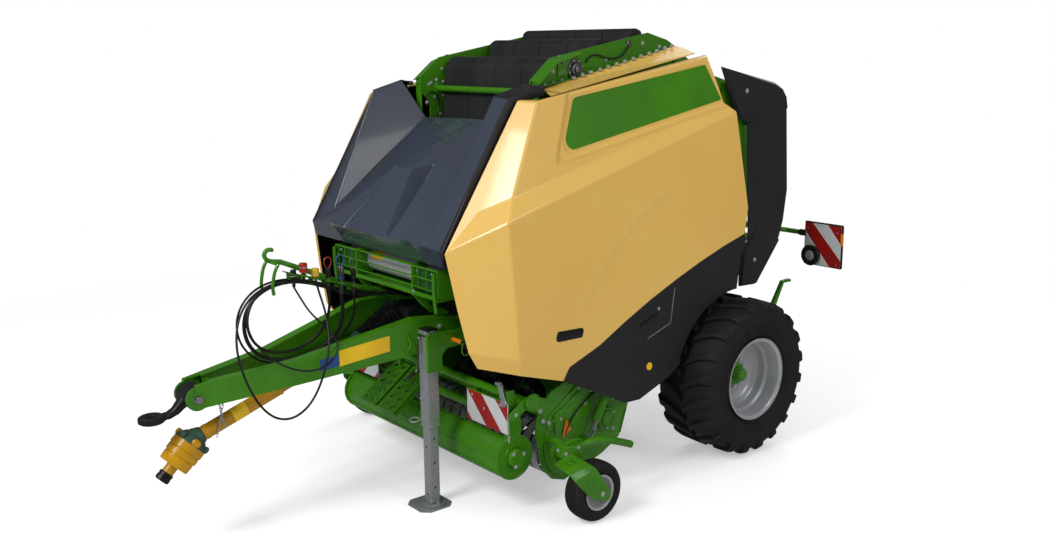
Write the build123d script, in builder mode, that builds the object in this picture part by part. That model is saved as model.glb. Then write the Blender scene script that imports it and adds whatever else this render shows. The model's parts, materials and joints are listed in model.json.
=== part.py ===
"""Round baler with a belt chamber, towed by its drawbar and driven by a shaft.

Frame: +Z up with the ground at z = 0, +X to the machine's left, the drawbar
towards -Y and the tailgate towards +Y.  Millimetres.  The origin is below the
middle of the whole machine.
"""
from build123d import *
import math
import os

os.makedirs("parts", exist_ok=True)

# ---------------------------------------------------------------- driving sizes
# running gear
AXLE_Y = 1450.0            # axle behind the origin
TYRE_R = 575.0             # free radius of the main tyre, so also the axle height
TYRE_W = 510.0             # section width of the main tyre
TYRE_MID_X = 1070.0        # middle of the main tyre from the centre line
RIM_R = 303.5              # flange radius of the 22.5 inch rim
HUB_R = 78.0
SPINDLE_R = 35.0
SPINDLE_END_X = 1120.0
RUNNING_FIT = 0.05         # radial clearance of a shaft in its bore
SEAT_GAP = 0.3             # tyre to rim
AXLE_TUBE = 120.0
# chamber
WALL_X = 620.0             # inner face of the chamber's side walls
WALL_T = 12.0
BELT_W = 1176.0
BELT_T = 9.0
SPLIT_Y = 1289.0           # rear edge of the fixed walls
SPLIT_GAP = 11.0           # to the tailgate's walls
TAIL_PIVOT = (1240.0, 2880.0)      # y, z
PIVOT_R = 20.0
# intake
ROTOR = (238.0, 483.0)     # y, z, also the pivot of the pickup
ROTOR_R = 205.0
ROTOR_SHAFT_R = 38.0
REEL = (-150.0, 335.0)     # y, z
REEL_R = 150.0             # to the tine bars' far side
PICKUP_X = 950.0           # inner face of the pickup's end plates
PICKUP_T = 12.0
GUARD_PIVOT = (-424.0, 749.0)      # y, z
# gauge wheels on the pickup
GAUGE = (-193.0, 196.0)    # y, z
GAUGE_R = 196.0
GAUGE_W = 150.0
GAUGE_OUT_X = 1398.0       # outer face of the gauge tyre
FORK_X = 1406.0            # inner face of the fork plate outside it
FORK_T = 12.0
GAUGE_RIM_R = 117.0
# front
HOOD_X = 788.0             # half width of the front hood
HOOD_AXIS = (-130.0, 2700.0)       # y, z of its hinge
JACK_X = 457.0
JACK_Y = -835.0
JACK_TUBE = 92.0
JACK_LEG = 76.0
JACK_PIVOT_Z = 1130.0
CARRIER_X = 520.0          # inner face of the plate that carries the jack
EYE = (-2472.0, 850.0)     # y, z of the towing eye
EYE_BORE = 50.0
EYE_R = 78.0
EYE_T = 42.0
PIN = (-2223.0, 941.0)     # y, z of the drawbar's head pin
PTO_TUBE = ((-2190.0, 684.0), (-1075.0, 1068.0))    # y, z of its ends
PTO_BORE = 35.0            # 1 3/8 inch splined bore


# -------------------------------------------------------------------- helpers
def save(piece, name):
    """Name a finished piece and write its STEP file."""
    piece.part.label = name
    export_step(piece.part, f"parts/{name}.step")
    print(f"{name}: {len(piece.part.solids())} solids, {piece.part.volume / 1e6:.2f} litres")


def side_plate(outline, x, thickness, holes=()):
    """Add a plate across X: outline in (y, z), from x by thickness; holes are (y, z, r)."""
    with BuildSketch(Plane.YZ.offset(x)) as shape:
        with BuildLine():
            Polyline(*outline, close=True)
        make_face()
        for hole_y, hole_z, hole_r in holes:
            with Locations((hole_y, hole_z)):
                Circle(hole_r, mode=Mode.SUBTRACT)
    extrude(to_extrude=shape.sketch, amount=thickness)


def disc(y, z, radius, x0, x1, bore=0.0, mode=Mode.ADD):
    """Add or cut a round of the given radius along X, from x0 to x1."""
    with BuildSketch(Plane.YZ.offset(x0)) as shape:
        with Locations((y, z)):
            Circle(radius)
            if bore:
                Circle(bore, mode=Mode.SUBTRACT)
    extrude(to_extrude=shape.sketch, amount=x1 - x0, mode=mode)


def block(x0, x1, y0, y1, z0, z1, mode=Mode.ADD):
    """Add or cut a box given by its faces."""
    with Locations(((x0 + x1) / 2, (y0 + y1) / 2, (z0 + z1) / 2)):
        Box(abs(x1 - x0), abs(y1 - y0), abs(z1 - z0), mode=mode)


def rod(start, end, radius, bore=0.0, mode=Mode.ADD):
    """Add or cut a round bar or tube between two points."""
    a = Vector(*start)
    b = Vector(*end)
    with BuildSketch(Plane(origin=a, z_dir=b - a)) as shape:
        Circle(radius)
        if bore:
            Circle(bore, mode=Mode.SUBTRACT)
    extrude(to_extrude=shape.sketch, amount=(b - a).length, mode=mode)


def turned(profile, y, z):
    """Add a body turned about the X axis through (y, z); profile is in (x, radius)."""
    with BuildSketch(Plane(origin=(0, y, z), x_dir=(1, 0, 0), z_dir=(0, -1, 0))) as shape:
        with BuildLine():
            Polyline(*profile, close=True)
        make_face()
    revolve(profiles=shape.sketch, axis=Axis((0, y, z), (1, 0, 0)))


def folded_sheet(points, faces, shift, edge_x=0.0):
    """Add a sheet of flat facets: its outer corners, its facets, and the way to its inside.

    Corners closer to the middle than edge_x step half as far across, and outwards.
    """
    def inner(point):
        side = (point[0] > 0) - (point[0] < 0)
        across = -side * shift[0] if abs(point[0]) > edge_x else side * shift[0] / 2
        return (point[0] + across, point[1] + shift[1], point[2] + shift[2])

    def triangle(a, b, c):
        return Face(Wire.make_polygon([a, b, c], close=True))

    skins = []
    edges = {}
    for corners in faces:
        for first, second in zip(corners, corners[1:] + corners[:1]):
            if (second, first) in edges:
                del edges[(second, first)]
            else:
                edges[(first, second)] = True
        for index in range(1, len(corners) - 1):
            a, b, c = points[corners[0]], points[corners[index]], points[corners[index + 1]]
            skins.append(triangle(a, b, c))
            skins.append(triangle(inner(a), inner(c), inner(b)))
    for first, second in edges:
        a, b = points[first], points[second]
        skins.append(triangle(a, inner(b), b))
        skins.append(triangle(a, inner(a), inner(b)))
    add(Solid(Shell(skins)))


# ------------------------------------------------------------- chamber's walls
SPLIT_TOP = 2850.0
WALL_BORES = ((ROTOR[0], ROTOR[1], ROTOR_SHAFT_R + RUNNING_FIT),)
WALL_OUTLINE = (
    (-110, 2745), (59, 2884), (962, 3047), (1156, 2998), (SPLIT_Y, 2930),
    (SPLIT_Y, 800), (900, 640), (560, 560), (470, 300), (300, 225), (150, 225),
    (20, 330), (20, 640), (-150, 900), (-200, 1300), (-240, 1700), (-240, 2240), (-30, 2400),
    (-30, 2560), (-110, 2640),
)
with BuildPart() as side_walls:
    side_plate(WALL_OUTLINE, WALL_X, WALL_T, holes=WALL_BORES)
    # bolted flange under the wing, sloping up to the rear
    flange_x = WALL_X + WALL_T
    side_plate(((-110, 2696), (1180, 2892), (1180, 2900), (-110, 2704)), flange_x, 60)
    # pin of the tailgate's hinge
    disc(TAIL_PIVOT[0], TAIL_PIVOT[1], PIVOT_R, flange_x, flange_x + 26)
    mirror(about=Plane.YZ)
    # tube between the wings, front plate of the chamber, drum guard and the floor's front edge
    rod((-WALL_X, 45, 2660), (WALL_X, 45, 2660), 23)
    side_plate(((-150, 1640), (-142, 1640), (-40, 2420), (-48, 2420)), -WALL_X, 2 * WALL_X)
    side_plate(((-150, 1150), (-138, 1150), (-138, 1330), (-150, 1330)), -WALL_X, 2 * WALL_X)
    rod((-WALL_X, 30, 1360), (WALL_X, 30, 1360), 55)
save(side_walls, "side_walls")

# ----------------------------------------------------------------- top rollers
# y, z, radius
TOP_ROLLERS = ((200, 2780, 100), (570, 2940, 56), (887, 3030, 38), (1120, 2780, 50), (60, 1500, 70))
with BuildPart() as belt_rollers:
    for roller_y, roller_z, roller_r in TOP_ROLLERS:
        disc(roller_y, roller_z, roller_r, -WALL_X + 12, WALL_X - 12)
        disc(roller_y, roller_z, 22, -WALL_X, WALL_X)
save(belt_rollers, "belt_rollers")


def belt_loop(rollers, name):
    """Endless belt stretched round rollers given as (y, z, radius)."""
    with BuildPart() as belt:
        for grow, mode in ((BELT_T, Mode.ADD), (0.3, Mode.SUBTRACT)):
            with BuildSketch(Plane.YZ.offset(-BELT_W / 2)) as outline:
                for roller_y, roller_z, roller_r in rollers:
                    with Locations((roller_y, roller_z)):
                        Circle(roller_r + grow)
                make_hull()
            extrude(to_extrude=outline.sketch, amount=BELT_W, mode=mode)
    save(belt, name)


belt_loop(TOP_ROLLERS, "chamber_belts")

# -------------------------------------------------------------------- chassis
RAIL_X = WALL_X + WALL_T
BEAM_Y = -520.0            # front face of the front beam
RAIL_Z = 1045.0            # underside of the side rails
# pickup end and chassis end, y and z, in the plane X = LIFT_X
LIFT_X = 1028.0
LIFT_LOW = (40.0, 380.0)
LIFT_HIGH = (300.0, 860.0)
lift_run = Vector(0, LIFT_HIGH[0] - LIFT_LOW[0], LIFT_HIGH[1] - LIFT_LOW[1])
lift_dir = lift_run.normalized()
LIFT_BORE_R = 17.0
CYL_X = 760.0
CYL_LOW = (920.0, 1490.0)          # y, z of the chassis pin
CYL_HIGH = (1480.0, 2690.0)        # y, z of the tailgate's pin
cyl_run = Vector(0, CYL_HIGH[0] - CYL_LOW[0], CYL_HIGH[1] - CYL_LOW[1])
cyl_dir = cyl_run.normalized()
CYL_BORE_R = 22.0
RAMP_PIVOT = (1590.0, 575.0)
RAMP_X = 740.0             # inner face of the ramp's side arms
EAR_GAP = 34.0             # from a lift cylinder's middle to the ear beside it
with BuildPart() as chassis_frame:
    # side rails, front beam and rear struts to the axle
    block(RAIL_X, RAIL_X + 70, BEAM_Y + 90, 1270, RAIL_Z, RAIL_Z + 90)
    block(-RAIL_X - 70, -RAIL_X, BEAM_Y + 90, 1270, RAIL_Z, RAIL_Z + 90)
    block(-RAIL_X - 70, RAIL_X + 70, BEAM_Y, BEAM_Y + 100, RAIL_Z, 1230)
    for side in (-1, 1):
        strut = ((1180, RAIL_Z), (1270, RAIL_Z), (1520, 660), (1520, 636), (1380, 636), (1380, 700))
        side_plate(strut, side * RAIL_X, side * 60)
        post = ((-480, 1230), (-400, 1230), (-280, 2150), (-360, 2150))
        side_plate(post, side * (RAIL_X + 10), side * 50)
        block(side * RAIL_X, side * (RAIL_X + 10), -320, -200, 1700, 2100)
        # arm from the side rail out to the lift cylinder's pin
        block(side * RAIL_X, side * (LIFT_X + EAR_GAP + 12), 270, 350, RAIL_Z - 40, RAIL_Z)
        for ear_x in (LIFT_X - EAR_GAP - 12, LIFT_X + EAR_GAP):
            ear = ((270, RAIL_Z - 20), (350, RAIL_Z - 20), (340, 860), (300, 826), (260, 860))
            side_plate(ear, side * ear_x, side * 12)
        disc(LIFT_HIGH[0], LIFT_HIGH[1], 14, side * (LIFT_X - EAR_GAP), side * (LIFT_X + EAR_GAP))
        # post from the side rail up to the tailgate cylinder's lower pin
        post = ((860, RAIL_Z + 10), (980, RAIL_Z + 10), (960, 1520), (880, 1520))
        side_plate(post, side * RAIL_X, side * 12)
        disc(CYL_LOW[0], CYL_LOW[1], 18, side * (RAIL_X + 12), side * (CYL_X + 30))
    # jack's carrier, its root on the front beam, and its pivot
    carrier = (
        (-900, 930), (-900, 1175), (BEAM_Y, 1175), (BEAM_Y, 1070), (-750, 1070), (-790, 1030),
        (-790, 930),
    )
    side_plate(carrier, CARRIER_X, 26)
    block(440, 700, BEAM_Y - 20, BEAM_Y, RAIL_Z, 1180)
    disc(JACK_Y, JACK_PIVOT_Z, 26, JACK_X + JACK_TUBE / 2 + 1, CARRIER_X)
    # platform step beside the drawbar
    block(-650, -440, -960, -700, 1030, 1042)
    block(-440, -412, -900, -860, 1030, 1042)
    block(-650, -638, -705, BEAM_Y, 1030, 1090)
    block(-650, -600, -710, -700, 1030, 1070)
    # blocks that the hoses come out of, on the front beam
    block(14, 100, -550, BEAM_Y + 40, 1225, 1345)
    block(-100, -14, -550, BEAM_Y + 40, 1225, 1345)
save(chassis_frame, "chassis_frame")

with BuildPart() as axle_beam:
    half = AXLE_TUBE / 2
    block(-780, 780, AXLE_Y - half, AXLE_Y + half, TYRE_R - half, TYRE_R + half)
    disc(AXLE_Y, TYRE_R, SPINDLE_R, 780, SPINDLE_END_X)
    disc(AXLE_Y, TYRE_R, 60, 780, 800)
    disc(AXLE_Y, TYRE_R, SPINDLE_R, -780, -SPINDLE_END_X)
    disc(AXLE_Y, TYRE_R, 60, -780, -800)
    # ears of the bale ramp
    for side in (-1, 1):
        plate = ((1505, 520), (1505, 630), (1600, 620), (1625, 575), (1600, 530))
        side_plate(plate, side * 640, side * 12)
        disc(RAMP_PIVOT[0], RAMP_PIVOT[1], 16, side * 652, side * (RAMP_X + 40))
save(axle_beam, "axle_beam")

# ---------------------------------------------------------------- main wheels
half_w = TYRE_W / 2
TYRE_PROFILE = (
    (-0.70, TYRE_R), (0.70, TYRE_R), (0.93, TYRE_R - 22), (1.0, TYRE_R - 85),
    (0.98, TYRE_R - 190), (0.855, RIM_R - 6), (0.80, RIM_R - 20 + SEAT_GAP),
    (0.50, RIM_R - 22 + SEAT_GAP), (0.46, RIM_R + 30), (-0.46, RIM_R + 30),
    (-0.50, RIM_R - 22 + SEAT_GAP), (-0.80, RIM_R - 20 + SEAT_GAP), (-0.855, RIM_R - 6),
    (-0.98, TYRE_R - 190), (-1.0, TYRE_R - 85), (-0.93, TYRE_R - 22),
)
# x over the tyre's half width, radius
RIM_PROFILE = (
    (0.93, RIM_R), (0.875, RIM_R), (0.86, RIM_R - 20), (0.49, RIM_R - 22), (0.42, RIM_R - 52),
    (-0.42, RIM_R - 52), (-0.49, RIM_R - 22), (-0.86, RIM_R - 20), (-0.875, RIM_R), (-0.93, RIM_R),
    (-0.91, RIM_R - 26), (-0.54, RIM_R - 32), (-0.47, RIM_R - 62), (0.14, RIM_R - 62),
    (0.02, 165), (0.02, HUB_R + 1), (0.08, HUB_R + 1), (0.08, 165), (0.20, RIM_R - 66),
    (0.47, RIM_R - 62), (0.54, RIM_R - 32), (0.91, RIM_R - 26),
)
for side_name, side in (("left", 1), ("right", -1)):
    with BuildPart() as tyre:
        profile = [(side * (TYRE_MID_X + x * half_w), r) for x, r in TYRE_PROFILE]
        turned(profile, AXLE_Y, TYRE_R)
    save(tyre, f"main_tyre_{side_name}")
    with BuildPart() as rim:
        profile = [(side * (TYRE_MID_X + x * half_w), r) for x, r in RIM_PROFILE]
        turned(profile, AXLE_Y, TYRE_R)
    save(rim, f"main_rim_{side_name}")
    with BuildPart() as hub:
        mid = TYRE_MID_X
        inner = SPINDLE_R + RUNNING_FIT
        profile = (
            (mid - 90, inner), (SPINDLE_END_X + 4, inner), (SPINDLE_END_X + 4, 0), (mid + 118, 0),
            (mid + 118, 40), (mid + 105, 48), (mid + 60, 52), (mid + 56, HUB_R), (mid + 5, HUB_R),
            (mid + 5, 135), (mid - 12, 135), (mid - 12, HUB_R), (mid - 90, 64),
        )
        turned([(side * x, r) for x, r in profile], AXLE_Y, TYRE_R)
    save(hub, f"main_hub_{side_name}")

# -------------------------------------------------------------------- drawbar
ARM_START = (100.0, -2240.0)       # x, y of the left arm's outer face
ARM_END = (440.0, -540.0)
ARM_T = 10.0
arm_run = Vector(ARM_END[0] - ARM_START[0], ARM_END[1] - ARM_START[1], 0)
arm_len = arm_run.length
arm_dir = arm_run.normalized()
arm_plane = Plane(
    origin=(ARM_START[0], ARM_START[1], 0), x_dir=arm_dir, z_dir=(arm_dir.Y, -arm_dir.X, 0)
)
# distance along the arm, height of its lower and upper edge
ARM_EDGES = ((0, 880, 1027), (600, 932, 1087), (1380, 1010, 1250), (arm_len, 1040, 1230))
with BuildPart() as drawbar:
    lower = [(along, low) for along, low, high in ARM_EDGES]
    upper = [(along, high) for along, low, high in ARM_EDGES]
    with BuildSketch(arm_plane) as web:
        with BuildLine():
            Polyline(*lower, *reversed(upper), close=True)
        make_face()
    extrude(to_extrude=web.sketch, amount=-ARM_T)
    for edge, step in ((lower, ARM_T), (upper, -ARM_T)):
        with BuildSketch(arm_plane) as flange:
            with BuildLine():
                Polyline(*edge, *reversed([(a, b + step) for a, b in edge]), close=True)
            make_face()
        extrude(to_extrude=flange.sketch, amount=-70)
    # head: cheek with its pin boss, and the cross plate between the arms
    disc(PIN[0], PIN[1], 72, 76, 96)
    block(78, 96, -2240, -2140, 885, 1000)
    block(0, 77, -2300, -2135, 800, 1100, mode=Mode.SUBTRACT)
    block(0, 600, BEAM_Y - 20, BEAM_Y + 200, 900, 1300, mode=Mode.SUBTRACT)
    mirror(about=Plane.YZ)
    block(-110, 110, -2125, -2110, 895, 1020)
    block(-425, 425, BEAM_Y - 20, BEAM_Y, 1050, 1225)
    rod((-118, PIN[0], PIN[1]), (118, PIN[0], PIN[1]), 19)
save(drawbar, "drawbar")

with BuildPart() as towing_eye:
    with BuildSketch(Plane.XY.offset(EYE[1] - EYE_T / 2)) as ring:
        with Locations((0, EYE[0])):
            Circle(EYE_R)
        with Locations((0, EYE[0] + 90)):
            Rectangle(70, 60)
        with Locations((0, EYE[0])):
            Circle(EYE_BORE / 2, mode=Mode.SUBTRACT)
    extrude(to_extrude=ring.sketch, amount=EYE_T)
    eye_low = EYE[1] - EYE_T / 2
    with BuildSketch(Plane.YZ.offset(-34)) as arm:
        with BuildLine():
            Line((EYE[0] + 75, eye_low), (EYE[0] + 75, eye_low + EYE_T))
            ThreePointArc((EYE[0] + 75, eye_low + EYE_T), (-2330, 905), (-2270, 985))
            Line((-2270, 985), (-2185, 985))
            Line((-2185, 985), (-2185, 890))
            ThreePointArc((-2185, 890), (-2290, 850), (EYE[0] + 75, eye_low))
        make_face()
    extrude(to_extrude=arm.sketch, amount=68)
    disc(PIN[0], PIN[1], 72, -75, 75)
    disc(PIN[0], PIN[1], 19 + RUNNING_FIT, -80, 80, mode=Mode.SUBTRACT)
save(towing_eye, "towing_eye")

# ------------------------------------------------------------ drive and guards
with BuildPart() as gearbox:
    block(-150, 150, -780, -560, 1050, 1250)
    rod((0, -800, 1195), (0, -780, 1195), 60)
save(gearbox, "gearbox")

tube_a = (0, *PTO_TUBE[0])
tube_b = (0, *PTO_TUBE[1])
tube_dir = (Vector(*tube_b) - Vector(*tube_a)).normalized()
tube_mid = Vector(*tube_a) + tube_dir * 560
BELL_DIR = Vector(0, -0.72, -0.694).normalized()
BELL_GAP = 46.0
bell_start = Vector(*tube_a) - tube_dir * BELL_GAP
with BuildPart() as pto_guard:
    rod(tube_a, tuple(tube_mid), 45)
    rod(tuple(tube_mid), tube_b, 38)
    rod(tuple(bell_start), tube_a, 58)
    with BuildSketch(Plane(origin=bell_start, z_dir=BELL_DIR)) as neck:
        Circle(78)
    with BuildSketch(Plane(origin=bell_start + BELL_DIR * 190, z_dir=BELL_DIR)) as mouth:
        Circle(102)
    loft(sections=(neck.sketch, mouth.sketch))
    with BuildSketch(Plane(origin=bell_start + BELL_DIR * 191, z_dir=-BELL_DIR)) as hollow:
        Circle(86)
    extrude(to_extrude=hollow.sketch, amount=110, mode=Mode.SUBTRACT)
save(pto_guard, "pto_guard")

yoke_start = bell_start + BELL_DIR * 90
yoke_end = bell_start + BELL_DIR * 300
with BuildPart() as pto_yoke:
    rod(tuple(yoke_start), tuple(bell_start + BELL_DIR * 200), 52)
    rod(tuple(bell_start + BELL_DIR * 200), tuple(yoke_end), 32)
    with BuildSketch(Plane(origin=yoke_end, z_dir=-BELL_DIR)) as bore:
        Circle(PTO_BORE / 2)
    extrude(to_extrude=bore.sketch, amount=90, mode=Mode.SUBTRACT)
save(pto_yoke, "pto_yoke")

with BuildPart() as pto_boot:
    boot_a = Vector(*tube_b) + tube_dir * 12
    boot_b = Vector(0, -801, 1195)
    with BuildSketch(Plane(origin=boot_a, z_dir=boot_b - boot_a)) as small:
        Circle(62)
    with BuildSketch(Plane(origin=boot_b, z_dir=(0, 1, 0))) as large:
        Circle(98)
    loft(sections=(small.sketch, large.sketch))
save(pto_boot, "pto_boot")

# ------------------------------------------------------------------ front hood
HOOD_POINTS = {
    "lip_mid": (0, -849, 1626), "lip_turn": (500, -849, 1626), "lip_end": (HOOD_X, -930, 1657),
    "edge_mid": (0, -1003, 1780), "edge_turn": (300, -1002, 1779), "edge_end": (HOOD_X, -950, 1760),
    "apex": (662, -850, 1840), "rail_in_front": (700, -461, 2658), "rail_in_rear": (700, -221, 2719),
    "rail_out_front": (HOOD_X, -415, 2652), "rail_out_rear": (HOOD_X, -154, 2713),
    "panel_corner": (662, -90, 2455), "panel_mid": (0, -90, 2455),
    "side_low": (HOOD_X, -905, 1735), "side_front": (HOOD_X, -385, 2600), "side_rear": (HOOD_X, -154, 2670),
}
HOOD_FACES = (
    ("edge_mid", "lip_mid", "lip_turn", "edge_turn"),
    ("edge_turn", "lip_turn", "lip_end", "edge_end"),
    ("edge_turn", "edge_end", "apex"),
    ("panel_mid", "edge_mid", "edge_turn", "apex", "panel_corner"),
    ("apex", "edge_end", "rail_out_front", "rail_in_front"),
    ("rail_in_front", "rail_out_front", "rail_out_rear", "rail_in_rear"),
    ("panel_corner", "apex", "rail_in_front", "rail_in_rear"),
    ("edge_end", "lip_end", "side_low"),
    ("edge_end", "side_low", "side_front", "rail_out_front"),
    ("rail_out_front", "side_front", "side_rear", "rail_out_rear"),
)
HOOD_IN = (8.0, 12.0, -2.0)        # way from its outer to its inner skin
with BuildPart() as front_hood:
    folded_sheet(HOOD_POINTS, HOOD_FACES, HOOD_IN, edge_x=HOOD_X - 1)
    # hinge pins at the upper rear corners
    rod((HOOD_X - 78, *HOOD_AXIS), (HOOD_X - 8, *HOOD_AXIS), 16)
    mirror(about=Plane.YZ)
save(front_hood, "front_hood")

# ----------------------------------------------------------------- side covers
# corners of the yellow cover's outer face on the left side
COVER_POINTS = {
    "nose": (826, -915, 1765), "hood_top": (812, -362, 2637), "ridge_top": (960, -335, 2631),
    "ridge_foot": (1040, -597, 2071), "band_start": (880, -731, 1979), "corner_top": (1100, -674, 1941),
    "rear_top": (960, 1212, 2882), "rear_upper": (1040, 1320, 2560), "rear_lower": (1100, 1380, 2500),
    "rear_low": (1100, 1544, 1805), "line_end": (1100, 1515, 1617), "line_c": (1100, 1034, 1472),
    "line_b": (1100, 536, 1278), "line_a": (1100, 73, 1051), "line_start": (1100, -195, 955),
    "corner_foot": (1100, -600, 1079), "edge_low": (880, -824, 1119), "hem_low": (870, -753, 1007),
    "hem_corner": (1080, -585, 975), "hem_end": (1085, -232, 867), "edge_mid": (852, -878, 1380),
    "roof_front": (905, -266, 2637), "roof_rear": (905, 1262, 2895),
}
COVER_FACES = (
    ("corner_top", "ridge_foot", "band_start", "nose"),
    ("hood_top", "nose", "band_start", "ridge_foot", "ridge_top"),
    ("ridge_top", "ridge_foot", "rear_upper", "rear_top"),
    ("ridge_foot", "corner_top", "rear_lower", "rear_upper"),
    ("nose", "edge_mid", "edge_low", "corner_foot", "corner_top"),
    ("corner_top", "corner_foot", "line_start", "line_a", "line_b", "line_c", "line_end",
     "rear_low", "rear_lower"),
    ("edge_low", "hem_low", "hem_corner", "corner_foot"),
    ("corner_foot", "hem_corner", "hem_end", "line_start"),
    ("hood_top", "ridge_top", "roof_front"),
    ("roof_front", "ridge_top", "rear_top", "roof_rear"),
)
ARCH_R = 640.0             # wheel arch, about the axle
SHEET_IN = (16.0, 8.0, -6.0)       # way from a cover's outer to its inner skin
LOWER_X = 1100.0
for side_name, side in (("left", 1), ("right", -1)):
    with BuildPart() as yellow:
        points = {key: (side * x, y, z) for key, (x, y, z) in COVER_POINTS.items()}
        faces = COVER_FACES if side > 0 else tuple(tuple(reversed(f)) for f in COVER_FACES)
        folded_sheet(points, faces, SHEET_IN)
        # hinge knuckles under the roof strip
        for knuckle_y in (-100, 1100):
            knuckle_z = 2650 + (knuckle_y + 100) * (2876 - 2650) / 1362
            rod((side * 890, knuckle_y, knuckle_z), (side * 890, knuckle_y + 80, knuckle_z + 13), 12)
    save(yellow, f"side_cover_{side_name}")
    with BuildPart() as lower:
        outline = (
            (-232, 867), (-195, 955), (73, 1051), (536, 1278), (1034, 1472), (1515, 1617),
            (1541, 1577), (1486, 1454), (1458, 1205), (850, 760), (729, 687), (453, 592), (318, 598),
        )
        with BuildSketch(Plane.YZ.offset(side * LOWER_X)) as shape:
            with BuildLine():
                Polyline(*outline, close=True)
            make_face()
        inwards = Vector(-side * SHEET_IN[0], SHEET_IN[1], SHEET_IN[2])
        extrude(to_extrude=shape.sketch, amount=inwards.length, dir=inwards)
        disc(AXLE_Y, TYRE_R, ARCH_R, side * 1000, side * 1150, mode=Mode.SUBTRACT)
    save(lower, f"lower_cover_{side_name}")

# fixed yellow strips between the wings and the covers
with BuildPart() as roof_strips:
    strip = {
        "in_front": (694, -60, 2690), "in_rear": (694, 1190, 2958),
        "out_front": (880, -150, 2660), "out_rear": (880, 1176, 2906),
    }
    folded_sheet(strip, (("in_front", "out_front", "out_rear", "in_rear"),), (0.0, 0.0, -6.0))
    mirror(about=Plane.YZ)
save(roof_strips, "roof_strips")

# -------------------------------------------------------------------- net store
with BuildPart() as net_box:
    for y0, y1, z0, z1 in ((-862, -852, 1420, 1500), (-862, -480, 1410, 1420), (-490, -480, 1420, 1560)):
        block(-RAIL_X, RAIL_X, y0, y1, z0, z1)
    for side in (-1, 1):
        sheet = ((-862, 1410), (-862, 1560), (-800, 1600), (-470, 1600), (-470, 1410))
        side_plate(sheet, side * RAIL_X, side * 8)
save(net_box, "net_box")

with BuildPart() as net_roll:
    disc(-700, 1520, 85, -600, 600, bore=30)
save(net_roll, "net_roll")

# --------------------------------------------------------------------- rotor
ROTOR_PLATES = 13
ROTOR_PITCH = 2 * (WALL_X - 40) / (ROTOR_PLATES - 1)
ROTOR_ARMS = 4
with BuildPart() as feed_rotor:
    disc(ROTOR[0], ROTOR[1], ROTOR_SHAFT_R, -972, 972)
    disc(ROTOR[0], ROTOR[1], 95, -WALL_X + 8, WALL_X - 8)
    for side in (-1, 1):
        disc(ROTOR[0], ROTOR[1], 62, side * (WALL_X + WALL_T + 8), side * (PICKUP_X - 10))
    for index in range(ROTOR_PLATES):
        star = []
        for arm in range(ROTOR_ARMS):
            turn = 2 * math.pi * arm / ROTOR_ARMS + index * 0.39
            for radius, lead in ((98, -0.35), (ROTOR_R, 0.0), (ROTOR_R - 8, 0.14)):
                angle = turn + lead
                point = (ROTOR[0] + radius * math.cos(angle), ROTOR[1] + radius * math.sin(angle))
                star.append(point)
        side_plate(star, -WALL_X + 40 + index * ROTOR_PITCH - 4, 8)
save(feed_rotor, "feed_rotor")

BED_R = ROTOR_R + 14.0
with BuildPart() as knife_bed:
    with BuildSketch(Plane.YZ.offset(-WALL_X)) as bed:
        with BuildLine():
            start = math.radians(-160)
            end = math.radians(-25)
            for radius, a, b in ((BED_R, start, end), (BED_R + 10, end, start)):
                mid = (a + b) / 2
                ThreePointArc(*[
                    (ROTOR[0] + radius * math.cos(t), ROTOR[1] + radius * math.sin(t))
                    for t in (a, mid, b)
                ])
            for t in (start, end):
                Line(*[
                    (ROTOR[0] + r * math.cos(t), ROTOR[1] + r * math.sin(t))
                    for r in (BED_R, BED_R + 10)
                ])
        make_face()
    extrude(to_extrude=bed.sketch, amount=2 * WALL_X)
save(knife_bed, "knife_bed")

# --------------------------------------------------------------------- pickup
END_PLATE = (
    (-345, 610), (-287, 714), (-221, 774), (-114, 804), (300, 700), (474, 524), (390, 316),
    (274, 248), (190, 213), (66, 190), (-115, 124), (-225, 160), (-300, 240), (-335, 335),
    (-335, 402), (-364, 505),
)
REEL_SHAFT_R = 28.0
with BuildPart() as pickup_frame:
    for side in (-1, 1):
        holes = (
            (ROTOR[0], ROTOR[1], ROTOR_SHAFT_R + RUNNING_FIT),
            (REEL[0], REEL[1], REEL_SHAFT_R + RUNNING_FIT),
        )
        side_plate(END_PLATE, side * PICKUP_X, side * PICKUP_T, holes=holes)
        cap_x = PICKUP_X + PICKUP_T
        disc(ROTOR[0], ROTOR[1], 80, side * cap_x, side * (cap_x + 26), bore=62)
        disc(ROTOR[0], ROTOR[1], 80, side * (cap_x + 18), side * (cap_x + 26))
        bracket = ((-200, 660), (-300, 610), (-425, 706), (-450, 749), (-424, 779), (-380, 770), (-250, 720))
        side_plate(bracket, side * cap_x, side * 10)
        disc(GUARD_PIVOT[0], GUARD_PIVOT[1], 14, side * (cap_x + 10), side * (cap_x + 44))
        # boss beside the lift cylinder's eye
        disc(LIFT_LOW[0], LIFT_LOW[1], 22, side * cap_x, side * (LIFT_X - 20))
    block(-PICKUP_X, PICKUP_X, 66, 136, 145, 205)
    block(-PICKUP_X, PICKUP_X, -270, -210, 590, 650)
save(pickup_frame, "pickup_frame")

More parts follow.
